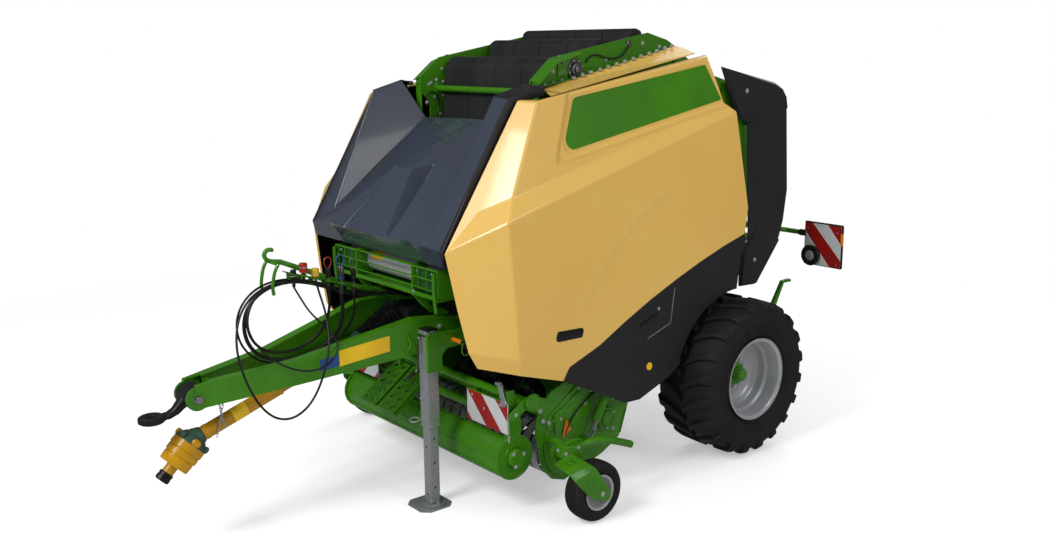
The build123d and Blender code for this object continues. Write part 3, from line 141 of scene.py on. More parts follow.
FINISH = {
    # sprayed gloss enamel on steel: even colour, clear top gloss, orange peel about 4 mm wide
    "green enamel": finish("green enamel", "438A0D", "39790A", 0.27, patch=2.0, grain=260,
                           bump=0.05, rough_spread=0.05, coat=0.1),
    # the same enamel painted darker as shade on the recessed inner plates of the net box, a little
    # duller
    "green enamel in painted shade": finish("green enamel in painted shade", "2A5A28", "214C20", 0.42, patch=3.0,
                                grain=260, bump=0.05, coat=0.2),
    # moulded glossy sheet covers, warm cream yellow, very smooth: waves 11 mm wide
    "cream gel coat": finish("cream gel coat", "F0C466", "ECBD5E", 0.28, patch=0.8, grain=90,
                             bump=0.012, rough_spread=0.03, coat=0.4),
    # slate coloured glossy cover, as smooth as the cream ones
    "slate gel coat": finish("slate gel coat", "41495A", "3A414E", 0.24, patch=0.9, grain=90,
                             bump=0.015, rough_spread=0.04, coat=0.6),
    # polypropylene with a moulded leather grain about 1 mm wide
    "grained black polypropylene": finish("grained black polypropylene", "252528", "202023", 0.52,
                                          patch=2.5, grain=900, bump=0.22),
    # moulded without a grain: a soft sheen, uneven over about 2 mm
    "smooth black polypropylene": finish("smooth black polypropylene", "18181A", "131315", 0.34,
                                         patch=4, grain=500, bump=0.06),
    # tyre rubber: nearly black, dull, with a dusty drift of tone
    "tyre rubber": finish("tyre rubber", "121213", "1B1A1A", 0.68, patch=5, grain=700, bump=0.25),
    # extruded rubber: a low sheen and a grain about 1 mm wide
    "hose rubber": finish("hose rubber", "0F0F10", "161617", 0.42, patch=14, grain=900, bump=0.1),
    # moulded rubber: dull, its fine grain drawn out in height
    "belt rubber": finish("belt rubber", "1B1B1D", "232325", 0.55, patch=6, grain=1500, bump=0.4,
                          stretch=(1, 1, 0.2)),
    # wheel discs: aluminium coloured lacquer on pressed steel
    "silver wheel lacquer": finish("silver wheel lacquer", "BABCBF", "A8AAAE", 0.34, metal=0.3,
                                   patch=4, grain=1200, bump=0.05),
    # drawn steel: dull grey metal with an uneven sheen
    "bare drawn steel": finish("bare drawn steel", "8D8D8E", "6F6E6C", 0.38, metal=1.0, patch=9,
                               grain=900, bump=0.12, rough_spread=0.14),
    # forged and blackened: dark, with a scale about 3 mm wide
    "forged black steel": finish("forged black steel", "1E1F22", "2A2B2E", 0.42, metal=0.3,
                                 patch=11, grain=350, bump=0.35),
    # ground and plated: mirror bright, almost without relief
    "hard chrome": finish("hard chrome", "D5D6D8", "C4C6C8", 0.12, metal=1.0, patch=8, grain=500,
                          bump=0.01, rough_spread=0.03),
    # paint on turned steel: low gloss, a faint peel about 3 mm wide
    "black roller paint": finish("black roller paint", "1C1D1F", "242527", 0.36, patch=4,
                                 grain=300, bump=0.06, coat=0.2),
    # moulded plastic: even amber, soft gloss
    "amber guard plastic": finish("amber guard plastic", "C8930A", "B58207", 0.3, patch=6,
                                  grain=500, bump=0.05),
    # moulded plastic: even yellow, a little duller
    "yellow cap plastic": finish("yellow cap plastic", "E0B41C", "CFA214", 0.4, patch=12,
                                 grain=600, bump=0.05),
    # moulded soft plastic: dull grey green
    "collar plastic": finish("collar plastic", "3E5A49", "34503F", 0.42, patch=9, grain=600,
                             bump=0.06),
    # moulded plastic: even red, soft gloss
    "red plastic": finish("red plastic", "B3201C", "9C1916", 0.36, patch=9, grain=600, bump=0.04),
    # glued film, here in red and then in white: flat and even, low gloss
    "red sheeting": finish("red sheeting", "9E120F", "8E100E", 0.4, patch=5, grain=700, bump=0.04),
    "white sheeting": finish("white sheeting", "C9CBCB", "BFC2C3", 0.4, patch=5, grain=700,
                             bump=0.04),
    # moulded lens, drawn as a solid: smooth and glossy
    "amber lens": finish("amber lens", "E2821A", "D57412", 0.16, patch=9, grain=300, bump=0.03,
                         coat=0.5),
    # glued film, here in yellow and then in blue: flat and even, low gloss
    "yellow sheeting": finish("yellow sheeting", "F0C410", "E6B80C", 0.4, patch=4, grain=700,
                              bump=0.03),
    "blue sheeting": finish("blue sheeting", "24488F", "1E3F80", 0.4, patch=4, grain=700,
                            bump=0.03),
    # moulded plastic: even blue, soft gloss
    "blue plastic": finish("blue plastic", "1F4FA8", "1A4290", 0.36, patch=9, grain=600,
                           bump=0.04),
    # pale grey plastic: the face of the rear lamp, and painted highlights along the lower cover's
    # pocket edges
    "pale grey plastic and painted edge highlight": finish("pale grey plastic and painted edge highlight", "8C8C8F", "6E6E70", 0.5, patch=9, grain=600,
                                bump=0.05),
    # electroplated steel: bright grey, a faint grain about 1 mm wide
    "zinc plated bolt": finish("zinc plated bolt", "C6C9CB", "AEB1B3", 0.3, metal=0.35, patch=30,
                               grain=900, bump=0.05),
    # card: matt brown, a rough grain 2 mm wide
    "worn cardboard": finish("worn cardboard", "A98C63", "997C55", 0.8, patch=9, grain=500,
                             bump=0.1),
    # wound net: pale and dull, its 2 mm grain drawn out along the roll
    "wrapped netting": finish("wrapped netting", "AEB2B6", "9B9FA4", 0.5, patch=7, grain=500,
                              bump=0.3, stretch=(0.25, 1, 1)),
}


def zinc():
    """Hot dip galvanising: a spangle of flat crystals about 9 mm wide over bright grey metal."""
    made, tree, shader, place = blank("hot dip zinc")
    spangle = node(tree, "ShaderNodeTexVoronoi", {"Vector": place, "Scale": 110.0})
    tone = node(tree, "ShaderNodeMapRange", {"Value": spangle.outputs["Color"]})
    mix = node(tree, "ShaderNodeMix", {"Factor": tone.outputs[0], "A": linear("A3A7AA"),
                                       "B": linear("BFC3C5")}, data_type="RGBA")
    tree.links.new(mix.outputs["Result"], shader.inputs["Base Color"])
    level = node(tree, "ShaderNodeMapRange", {"Value": spangle.outputs["Color"],
                                              "To Min": 0.30, "To Max": 0.46})
    tree.links.new(level.outputs[0], shader.inputs["Roughness"])
    fine = node(tree, "ShaderNodeTexNoise", {"Vector": place, "Scale": 500.0})
    relief = node(tree, "ShaderNodeBump", {"Height": fine.outputs["Fac"], "Strength": 0.08,
                                           "Distance": 0.002})
    tree.links.new(relief.outputs[0], shader.inputs["Normal"])
    shader.inputs["Metallic"].default_value = 0.7
    return made


FINISH["hot dip zinc"] = zinc()


def add_ledge(made):
    """Soften the ledge round the colour band with a wider rounding than the sheet's own."""
    tree = made.node_tree
    place = next(n for n in tree.nodes if n.type == "TEX_COORD").outputs["Object"]
    split = node(tree, "ShaderNodeSeparateXYZ", {"Vector": place})
    flat = node(tree, "ShaderNodeCombineXYZ", {"Y": split.outputs["Y"], "Z": split.outputs["Z"]})
    relief = next(n for n in tree.nodes if n.type == "BUMP")
    # rounded ledge under and before the colour band: sloping lines through its lower corner
    edges = []
    for normal in (Vector((0, 0.1868, -0.9824)), Vector((0, -0.9416, 0.3368))):
        across_edge = node(tree, "ShaderNodeVectorMath", {0: flat.outputs[0], 1: normal},
                           operation="DOT_PRODUCT")
        edges.append(node(tree, "ShaderNodeMath", {
            0: across_edge.outputs["Value"], 1: normal.dot(LEDGE_CORNER)}, operation="SUBTRACT"))
    off = node(tree, "ShaderNodeMath", {0: edges[0].outputs[0], 1: edges[1].outputs[0], 2: 0.10},
               operation="SMOOTH_MAX")
    ledge = node(tree, "ShaderNodeMapRange", {"Value": off.outputs[0], "From Min": -0.004,
                                              "From Max": 0.030},
                 interpolation_type="SMOOTHSTEP")
    relief = node(tree, "ShaderNodeBump", {"Height": ledge.outputs[0], "Strength": 1.0,
                                           "Distance": 0.016, "Normal": relief.outputs[0]})
    tree.links.new(relief.outputs[0], tree.nodes["Principled BSDF"].inputs["Normal"])


LEDGE_CORNER = Vector((0, -0.217, 2.257))      # lower front corner of the ledge round the band
add_ledge(FINISH["cream gel coat"])

# the finish of each slot that the CAD nodes name
SLOT_FINISH = {
    "frame_green": "green enamel", "roller_black": "black roller paint",
    "belt_black": "belt rubber", "tyre_black": "tyre rubber", "rim_silver": "silver wheel lacquer",
    "cast_black": "forged black steel", "guard_amber": "amber guard plastic",
    "shaft_steel": "bare drawn steel", "boot_black": "smooth black polypropylene",
    "hood_slate": "slate gel coat", "cover_yellow": "cream gel coat",
    "cover_black": "grained black polypropylene", "net_white": "wrapped netting",
    "zinc": "hot dip zinc", "board_red": "red plastic", "rod_chrome": "hard chrome",
    "hose_rubber": "hose rubber",
}
for part in frame["record"]["subparts"]:
    mesh = frame["nodes"][part["node"]].data
    mesh.materials.clear()
    mesh.materials.append(FINISH[SLOT_FINISH[part["material_slot"]]])




# ---------------------------------------------------------- shaping helpers
def clear():
    """Deselect everything."""
    bpy.ops.object.select_all(action="DESELECT")


def only(piece):
    """Select a single piece and make it active."""
    clear()
    piece.select_set(True)
    bpy.context.view_layer.objects.active = piece
    return piece


def in_edit(piece, *steps):
    """Run edit steps on the whole of a piece."""
    only(piece)
    bpy.ops.object.mode_set(mode="EDIT")
    bpy.ops.mesh.select_all(action="SELECT")
    for step in steps:
        step()
    bpy.ops.mesh.select_all(action="SELECT")
    bpy.ops.mesh.normals_make_consistent(inside=False)
    bpy.ops.object.mode_set(mode="OBJECT")
    return piece


def facet(corners):
    """A flat face with the given corners."""
    clear()
    bpy.ops.mesh.primitive_circle_add(vertices=len(corners), fill_type="NGON")
    piece = bpy.context.object
    for vertex, corner in zip(piece.data.vertices, corners):
        vertex.co = corner
    return piece


def from_faces(verts, faces):
    """A body from its corners and faces, with its normals outward."""
    mesh = bpy.data.meshes.new("body")
    mesh.from_pydata(verts, [], faces)
    piece = bpy.data.objects.new("body", mesh)
    bpy.context.scene.collection.objects.link(piece)
    return in_edit(piece)


def stacked(loops):
    """A body through loops of equally many corners, closed by the first and the last."""
    count = len(loops[0])
    verts = [corner for loop in loops for corner in loop]
    faces = [tuple(range(count)), tuple(reversed(range(len(verts) - count, len(verts))))]
    for level in range(0, len(verts) - count, count):
        faces += [(level + i, level + count + i, level + count + (i + 1) % count,
                   level + (i + 1) % count) for i in range(count)]
    return from_faces(verts, faces)


def solid(corners, step):
    """A plate with the given face, drawn out by one step."""
    return in_edit(facet(corners), lambda: bpy.ops.mesh.extrude_region_move(
        TRANSFORM_OT_translate={"value": step}))


def across(outline, x, thickness):
    """A plate square to X with its outline in (y, z)."""
    return solid([(x, y, z) for y, z in outline], (thickness, 0, 0))


def box(x0, x1, y0, y1, z0, z1):
    """A box square to the axes, between two places on each."""
    clear()
    bpy.ops.mesh.primitive_cube_add(size=1, location=((x0 + x1) / 2, (y0 + y1) / 2, (z0 + z1) / 2))
    piece = bpy.context.object
    piece.scale = (abs(x1 - x0), abs(y1 - y0), abs(z1 - z0))
    bpy.ops.object.transform_apply(location=True, rotation=True, scale=True)
    return piece


def bar(start, end, radius, sides=28):
    """A round bar between two points."""
    a, b = Vector(start), Vector(end)
    clear()
    bpy.ops.mesh.primitive_cone_add(
        vertices=sides, radius1=radius, radius2=radius,
        depth=(b - a).length, location=(a + b) / 2,
        rotation=(b - a).to_track_quat("Z", "Y").to_euler())
    bpy.ops.object.transform_apply(location=True, rotation=True, scale=True)
    return bpy.context.object


def sideways(y, z, radius, x0, x1, sides=32):
    """A round bar along X."""
    return bar((x0, y, z), (x1, y, z), radius, sides)


def turned(profile, origin, direction, steps=48):
    """A body turned about the line through origin; the profile is in (along, radius)."""
    axis = Vector(direction).normalized()
    out = axis.orthogonal().normalized()
    start = Vector(origin)
    piece = facet([start + axis * along + out * radius for along, radius in profile])

    def spin():
        bpy.ops.mesh.delete(type="ONLY_FACE")
        bpy.ops.mesh.select_all(action="SELECT")
        bpy.ops.mesh.spin(steps=steps, angle=2 * math.pi, center=start, axis=axis)
        bpy.ops.mesh.select_all(action="SELECT")
        bpy.ops.mesh.remove_doubles(threshold=0.00002)
        bpy.ops.mesh.dissolve_degenerate(threshold=0.00002)
        bpy.ops.mesh.select_all(action="SELECT")
        bpy.ops.mesh.delete_loose(use_verts=True, use_edges=True, use_faces=False)

    return in_edit(piece, spin)


def tube(route, radius, smooth=True, sides=3):
    """A round rod bent along a route."""
    curve = bpy.data.curves.new("rod", "CURVE")
    curve.dimensions = "3D"
    curve.bevel_depth = radius
    curve.bevel_resolution = sides
    curve.use_fill_caps = True
    line = curve.splines.new("NURBS" if smooth else "POLY")
    line.points.add(len(route) - 1)
    for point, place in zip(line.points, route):
        point.co = (*place, 1.0)
    if smooth:
        line.order_u = 3
        line.use_endpoint_u = True
        line.resolution_u = 5
    piece = bpy.data.objects.new("rod", curve)
    bpy.context.scene.collection.objects.link(piece)
    only(piece)
    bpy.ops.object.convert(target="MESH")
    return in_edit(bpy.context.object, lambda: bpy.ops.mesh.remove_doubles(threshold=0.00002))


def modify(piece, kind, **settings):
    """Add a modifier with its settings and apply it."""
    only(piece)
    modifier = piece.modifiers.new(kind.lower(), kind)
    for key, value in settings.items():
        setattr(modifier, key, value)
    bpy.ops.object.modifier_apply(modifier=modifier.name)
    return piece


def soften(piece, width=0.003, segments=2, angle=30):
    """Round the edges of a piece."""
    return modify(piece, "BEVEL", width=width, segments=segments, limit_method="ANGLE",
                  angle_limit=math.radians(angle), use_clamp_overlap=True)


def cut(piece, tool):
    """Cut the tool's shape out of a piece."""
    modify(piece, "BOOLEAN", object=tool, operation="DIFFERENCE", solver="EXACT")
    bpy.data.objects.remove(tool)
    return piece


def join(pieces):
    """Make one object of several; the first keeps its name."""
    pieces = list(pieces)
    clear()
    for piece in pieces:
        piece.select_set(True)
    bpy.context.view_layer.objects.active = pieces[0]
    if len(pieces) > 1:
        bpy.ops.object.join()
    return bpy.context.object


def paint(piece, finish_name):
    """Give a piece one finish."""
    piece.data.materials.clear()
    piece.data.materials.append(FINISH[finish_name])
    return piece


def copies(piece, places):
    """Copies of a piece with their own meshes, each moved by its matrix, and the piece removed."""
    made = []
    for place in places:
        twin = piece.copy()
        twin.data = piece.data.copy()
        bpy.context.scene.collection.objects.link(twin)
        twin.data.transform(place)
        if place.determinant() < 0:
            twin.data.flip_normals()
        made.append(twin)
    bpy.data.objects.remove(piece)
    return made


def shift(x=0.0, y=0.0, z=0.0):
    """Matrix of a move."""
    return Matrix.Translation((x, y, z))


def turn_about(point, axis, angle):
    """Matrix of a turn about a line through a point; axis is a letter or a vector."""
    return shift(*point) @ Matrix.Rotation(angle, 4, axis) @ shift(*(-Vector(point)))


MIRROR = Matrix.Scale(-1, 4, (1, 0, 0))


def both(piece):
    """The piece and its mirror image on the other side."""
    return copies(piece, (Matrix.Identity(4), MIRROR))


def done(pieces, name, body, material_slot, stands_for=(), angle=32, flat_faces=False):
    """Join, smooth and name a finished piece and say what it rides and stands for.

    flat_faces keeps wide faces flat to the light, so that only the narrow folds look round.
    """
    piece = join([pieces] if isinstance(pieces, bpy.types.Object) else pieces)
    only(piece)
    bpy.ops.object.shade_smooth_by_angle(angle=math.radians(angle))
    bpy.ops.object.transform_apply(location=True, rotation=True, scale=True)
    if flat_faces:
        modify(piece, "WEIGHTED_NORMAL", mode="FACE_AREA", weight=100, keep_sharp=True)
    piece.name = name
    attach(piece, body)
    if stands_for:
        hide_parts(*([stands_for] if isinstance(stands_for, str) else stands_for))
    return piece


def each_side(piece, name, body, material_slot, stands_for="", **look):
    """Finish a left piece and its mirror image; {} in a name becomes left or right."""
    for side, twin in zip(("left", "right"), both(piece)):
        done(twin, name.format(side), body.format(side), material_slot, stands_for.format(side),
             **look)


def bolt(place, direction, size=0.010, height=0.008, washer=True):
    """A hexagon bolt head, with its washer, on a surface."""
    place, direction = Vector(place), Vector(direction).normalized()
    parts = [soften(bar(place, place + direction * height, size, 6), 0.0008, 2, 40)]
    if washer:
        parts.append(bar(place - direction * 0.0005, place + direction * 0.0022, size * 1.45, 24))
    return paint(join(parts), "zinc plated bolt")


# -------------------------------------------------------------------- cords
# routes in metres, from the block on the front beam to the coupler
COUPLER_X = 0.092
CORDS = {
    "hose_blue": (0.024, (
        (0.028, -0.553, 1.300), (0.028, -0.680, 1.318), (0.026, -0.800, 1.352),
        (0.026, -0.920, 1.368), (0.024, -1.040, 1.376), (0.012, -1.160, 1.404),
        (0.008, -1.290, 1.458), (0.008, -1.420, 1.511), (0.008, -1.550, 1.538),
        (0.008, -1.675, 1.528), (0.008, -1.780, 1.482), (0.008, -1.850, 1.405),
        (0.008, -1.877, 1.306), (0.008, -1.861, 1.203), (0.008, -1.805, 1.116),
        (0.008, -1.715, 1.061), (0.010, -1.608, 1.040), (0.017, -1.497, 1.045),
        (0.034, -1.390, 1.075), (0.060, -1.302, 1.133), (0.083, -1.248, 1.218),
        (COUPLER_X, -1.233, 1.320), (COUPLER_X, -1.240, 1.425),
    )),
    "hose_red": (0.018, (
        (-0.026, -0.553, 1.300), (-0.026, -0.675, 1.321), (-0.025, -0.790, 1.353),
        (-0.024, -0.905, 1.374), (-0.022, -1.020, 1.392), (-0.020, -1.135, 1.416),
        (-0.020, -1.255, 1.456), (-0.020, -1.380, 1.505), (-0.020, -1.510, 1.536),
        (-0.020, -1.635, 1.536), (-0.020, -1.740, 1.498), (-0.020, -1.811, 1.423),
        (-0.020, -1.842, 1.328), (-0.020, -1.829, 1.229), (-0.020, -1.776, 1.146),
        (-0.018, -1.690, 1.097), (-0.011, -1.592, 1.083), (0.008, -1.497, 1.100),
        (0.038, -1.418, 1.148), (0.068, -1.364, 1.222), (0.087, -1.334, 1.312),
        (COUPLER_X, -1.326, 1.405), (COUPLER_X, -1.330, 1.490),
    )),
    "hose_green": (0.014, (
        (-0.052, -0.553, 1.300), (-0.052, -0.665, 1.322), (-0.051, -0.775, 1.354),
        (-0.050, -0.885, 1.373), (-0.048, -0.995, 1.388), (-0.046, -1.105, 1.407),
        (-0.044, -1.215, 1.444), (-0.044, -1.330, 1.490), (-0.044, -1.450, 1.527),
        (-0.044, -1.570, 1.545), (-0.044, -1.690, 1.536), (-0.044, -1.795, 1.490),
        (-0.044, -1.869, 1.410), (-0.044, -1.901, 1.308), (-0.044, -1.887, 1.201),
        (-0.044, -1.831, 1.106), (-0.042, -1.742, 1.039), (-0.038, -1.635, 1.007),
        (-0.028, -1.523, 1.005), (-0.008, -1.412, 1.030), (0.022, -1.310, 1.078),
        (0.055, -1.222, 1.146), (0.080, -1.166, 1.233), (COUPLER_X, -1.146, 1.331),
        (COUPLER_X, -1.150, 1.420),
    )),
    "cable_plug": (0.012, (
        (0.052, -0.553, 1.300), (0.052, -0.650, 1.320), (0.051, -0.750, 1.350),
        (0.049, -0.850, 1.370), (0.046, -0.950, 1.382), (0.042, -1.050, 1.394),
        (0.038, -1.150, 1.418), (0.035, -1.255, 1.455), (0.034, -1.365, 1.502),
        (0.034, -1.475, 1.535), (0.034, -1.585, 1.549), (0.037, -1.692, 1.538),
        (0.046, -1.788, 1.500), (0.066, -1.860, 1.430), (0.100, -1.896, 1.342),
        (0.143, -1.888, 1.253), (0.188, -1.843, 1.173), (0.229, -1.779, 1.108),
        (0.261, -1.705, 1.060), (0.283, -1.621, 1.031), (0.301, -1.533, 1.028),
        (0.311, -1.452, 1.066), (0.305, -1.402, 1.128), (0.262, -1.384, 1.182),
        (0.205, -1.400, 1.230), (0.156, -1.440, 1.288), (0.122, -1.492, 1.357),
        (0.104, -1.533, 1.441), (COUPLER_X, -1.569, 1.515),
    )),
    "cable_long": (0.014, (
        (0.078, -0.553, 1.300), (0.078, -0.665, 1.320), (0.077, -0.780, 1.351),
        (0.075, -0.895, 1.368), (0.071, -1.010, 1.382), (0.066, -1.120, 1.404),
        (0.061, -1.230, 1.444), (0.057, -1.345, 1.494), (0.056, -1.465, 1.535),
        (0.056, -1.590, 1.556), (0.060, -1.715, 1.548), (0.074, -1.831, 1.507),
        (0.106, -1.925, 1.431), (0.153, -1.987, 1.330), (0.205, -2.015, 1.215),
        (0.253, -2.010, 1.096), (0.290, -1.980, 0.980), (0.314, -1.929, 0.872),
        (0.326, -1.848, 0.791), (0.330, -1.745, 0.768), (0.331, -1.645, 0.812),
        (0.333, -1.572, 0.900), (0.334, -1.522, 1.008), (0.316, -1.478, 1.112),
        (0.272, -1.441, 1.205), (0.216, -1.417, 1.293), (0.160, -1.407, 1.380),
        (0.115, -1.412, 1.465), (COUPLER_X, -1.420, 1.540),
    )),
}


# y and z of each coupler's lower end, radius and length of its grip, then of its head,
# the finishes of grip and head, and the cord it is on
COUPLERS = (
    (-1.240, 1.427, 0.015, 0.060, 0.021, 0.120, "bare drawn steel", "bare drawn steel",
     "hose_blue"),
    (-1.330, 1.492, 0.013, 0.053, 0.017, 0.060, "bare drawn steel",
     "smooth black polypropylene", "hose_red"),
    (-1.150, 1.422, 0.012, 0.068, 0.017, 0.085, "bare drawn steel",
     "smooth black polypropylene", "hose_green"),
    (-1.569, 1.517, 0.011, 0.048, 0.019, 0.062, "smooth black polypropylene",
     "smooth black polypropylene", "cable_plug"),
    (-1.420, 1.542, 0.012, 0.023, 0.026, 0.050, "smooth black polypropylene",
     "yellow cap plastic", "cable_long"),
    (-1.500, 1.560, 0.012, 0.040, 0.026, 0.060, "smooth black polypropylene", "red plastic", None),
)


def coupler(y, z, grip_r, grip, head_r, head, grip_finish, head_finish):
    """Ribbed grip below, and above it a head with a sleeve ring and a round edged cap."""
    base = (COUPLER_X, y, z)
    ribs = [(0.0, 0.0), (0.0, grip_r * 0.8)]
    for i in range(5):
        low = 0.004 + i * (grip - 0.008) / 5
        ribs += [(low, grip_r * 0.86), (low + 0.002, grip_r),
                 (low + (grip - 0.008) / 5 - 0.002, grip_r)]
    ribs += [(grip, grip_r * 0.8), (grip, 0.0)]
    handle = paint(turned(ribs, base, UP, 28), grip_finish)
    parts = []
    top = grip + head
    parts.append(paint(turned((
        (grip, 0.0), (grip, head_r * 0.86), (grip + 0.003, head_r * 0.97),
        (grip + head * 0.30, head_r * 0.97), (grip + head * 0.32, head_r * 0.86),
        (grip + head * 0.40, head_r * 0.86), (grip + head * 0.42, head_r),
        (top - 0.006, head_r), (top - 0.001, head_r * 0.86), (top, head_r * 0.7), (top, 0.0),
    ), base, UP, 32), head_finish))
    if head_finish != "red plastic":
        ring = {0.021: "blue plastic", 0.017: "bare drawn steel"}.get(head_r, "white sheeting")
        parts.append(paint(turned((
            (grip + head * 0.32, head_r * 0.84), (grip + head * 0.33, head_r * 0.99),
            (grip + head * 0.39, head_r * 0.99), (grip + head * 0.40, head_r * 0.84),
        ), base, UP, 32), ring))
    else:
        parts.append(paint(turned((
            (grip + head * 0.44, head_r * 0.9), (grip + head * 0.46, head_r * 1.0),
            (top - 0.020, head_r * 1.0), (top - 0.019, head_r * 0.9),
        ), base, UP, 32), "white sheeting"))
    return handle, parts


for index, (*sizes, owner) in enumerate(COUPLERS):
    handle, top_parts = coupler(*sizes)
    done(top_parts, f"coupler_head_{index + 1}", "chassis", "hose_rubber", "hose_couplers")
    done(handle, f"coupler_grip_{index + 1}", "chassis", "hose_rubber")


def lay_cord(name, diameter, route):
    """A hose or cable as one smooth line with a round section."""
    curve = bpy.data.curves.new(name, "CURVE")
    curve.dimensions = "3D"
    curve.bevel_depth = diameter / 2
    curve.bevel_resolution = 3
    curve.use_fill_caps = True
    line = curve.splines.new("NURBS")
    line.points.add(len(route) - 1)
    for point, place in zip(line.points, route):
        point.co = (*place, 1.0)
    line.order_u = 3
    line.use_endpoint_u = True
    line.resolution_u = 6
    cord = bpy.data.objects.new(name + "_line", curve)
    bpy.context.scene.collection.objects.link(cord)
    curve.materials.append(FINISH["hose rubber"])
    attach(cord, "chassis")
    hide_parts(name)
    # tapered collar where the line leaves the block
    start, way = Vector(route[0]), (Vector(route[1]) - Vector(route[0])).normalized()
    r = diameter / 2
    shape = [(-0.004, r * 0.9), (-0.004, r + 0.0060), (0.004, r + 0.0066)]
    for i in range(5):
        a = 0.008 + i * 0.010
        outer = r + 0.0058 - i * 0.0010
        shape += [(a, outer - 0.0014), (a + 0.003, outer), (a + 0.007, outer - 0.0003)]
    shape += [(0.062, r + 0.0008), (0.062, r * 0.9)]
    collar = done(paint(turned(shape, start, way, 28), "smooth black polypropylene"),
                  name + "_collar", "chassis", "boot_black")


for cord_name, (cord_diameter, cord_route) in CORDS.items():
    lay_cord(cord_name, cord_diameter, cord_route)


# ---------------------------------------------------------------- stage, light
def lay_stage():
    """Pale floor that fades out into a white surround, and soft lamps."""
    bpy.ops.mesh.primitive_circle_add(vertices=96, radius=14, fill_type="NGON")
    floor = bpy.context.object
    floor.name = "floor"
    made, tree, shader, place = blank("matte studio floor")
    shader.inputs["Base Color"].default_value = linear("F2F2F2")
    shader.inputs["Roughness"].default_value = 0.95
    shader.inputs["Specular IOR Level"].default_value = 0.1
    rays = node(tree, "ShaderNodeLightPath")
    seen = node(tree, "ShaderNodeMath", {0: rays.outputs["Is Camera Ray"],
                                         1: rays.outputs["Is Glossy Ray"]}, operation="ADD")
    seen = node(tree, "ShaderNodeMath", {0: seen.outputs[0],
                                         1: rays.outputs["Is Transmission Ray"]},
                operation="ADD", use_clamp=True)
    strength = node(tree, "ShaderNodeMath", {0: seen.outputs[0], 1: 0.40}, operation="MULTIPLY")
    muted = node(tree, "ShaderNodeMapRange", {"Value": rays.outputs["Is Glossy Ray"],
                                              "To Min": 1.0, "To Max": MIRRORED_SHARE})
    strength = node(tree, "ShaderNodeMath", {0: strength.outputs[0], 1: muted.outputs[0]},
                    operation="MULTIPLY")
    lift = node(tree, "ShaderNodeEmission", {"Strength": strength.outputs[0]})
    both_lit = node(tree, "ShaderNodeAddShader", {0: shader.outputs[0], 1: lift.outputs[0]})
    dim = node(tree, "ShaderNodeEmission", {"Strength": MIRRORED_SHARE})
    both_lit = node(tree, "ShaderNodeMixShader", {0: rays.outputs["Is Glossy Ray"],
                                                  1: both_lit.outputs[0], 2: dim.outputs[0]})
    # fade from 4.5 m to 8 m off the middle
    distance = node(tree, "ShaderNodeVectorMath", {0: place}, operation="LENGTH")
    fade = node(tree, "ShaderNodeMapRange", {"Value": distance.outputs["Value"], "From Min": 4.5,
                                             "From Max": 8.0}, interpolation_type="SMOOTHSTEP")
    clear_air = node(tree, "ShaderNodeBsdfTransparent")
    whole = node(tree, "ShaderNodeMixShader", {0: fade.outputs[0], 1: both_lit.outputs[0],
                                               2: clear_air.outputs[0]})
    tree.links.new(whole.outputs[0], tree.nodes["Material Output"].inputs["Surface"])
    floor.data.materials.append(made)

    world = bpy.data.worlds.new("studio")
    bpy.context.scene.world = world
    world.use_nodes = True
    tree = world.node_tree
    rays = node(tree, "ShaderNodeLightPath")
    seen = node(tree, "ShaderNodeMath", {0: rays.outputs["Is Camera Ray"],
                                         1: rays.outputs["Is Transmission Ray"]},
                operation="ADD", use_clamp=True)
    level = node(tree, "ShaderNodeMapRange", {"Value": seen.outputs[0], "To Min": WORLD_LEVEL,
                                              "To Max": 1.0})
    dimmer = node(tree, "ShaderNodeMapRange", {"Value": rays.outputs["Is Glossy Ray"],
                                               "To Min": 1.0, "To Max": MIRRORED_SHARE})
    level = node(tree, "ShaderNodeMath", {0: level.outputs[0], 1: dimmer.outputs[0]},
                 operation="MULTIPLY")
    tree.links.new(level.outputs[0], tree.nodes["Background"].inputs["Strength"])
    tree.nodes["Background"].inputs["Color"].default_value = (1, 1, 1, 1)

    for name, place_at, size, power in LAMPS:
        data = bpy.data.lights.new(name, "AREA")
        data.size = size
        data.energy = power
        lamp = bpy.data.objects.new(name, data)
        lamp.location = place_at
        lamp.rotation_euler = (AIM - lamp.location).to_track_quat("-Z", "Y").to_euler()
        bpy.context.scene.collection.objects.link(lamp)


WORLD_LEVEL = 0.44         # light of the surround on the machine
MIRRORED_SHARE = 0.22      # share of that light that shows in glossy surfaces
AIM = Vector((0, 0, 1.2))  # where the lamps point
# name, place, size and power of each lamp
LAMPS = (
    ("key", (1.0, -8.0, 8.0), 3.0, 520), ("side", (9.0, 2.0, 5.5), 4.0, 170),
    ("back", (-3.0, 8.0, 6.5), 4.0, 200),
)
lay_stage()
bpy.context.scene.view_settings.view_transform = "Standard"

# ------------------------------------------------------------------- wheels
AXLE = (1.45, 0.575)
TYRE_MID = 1.07


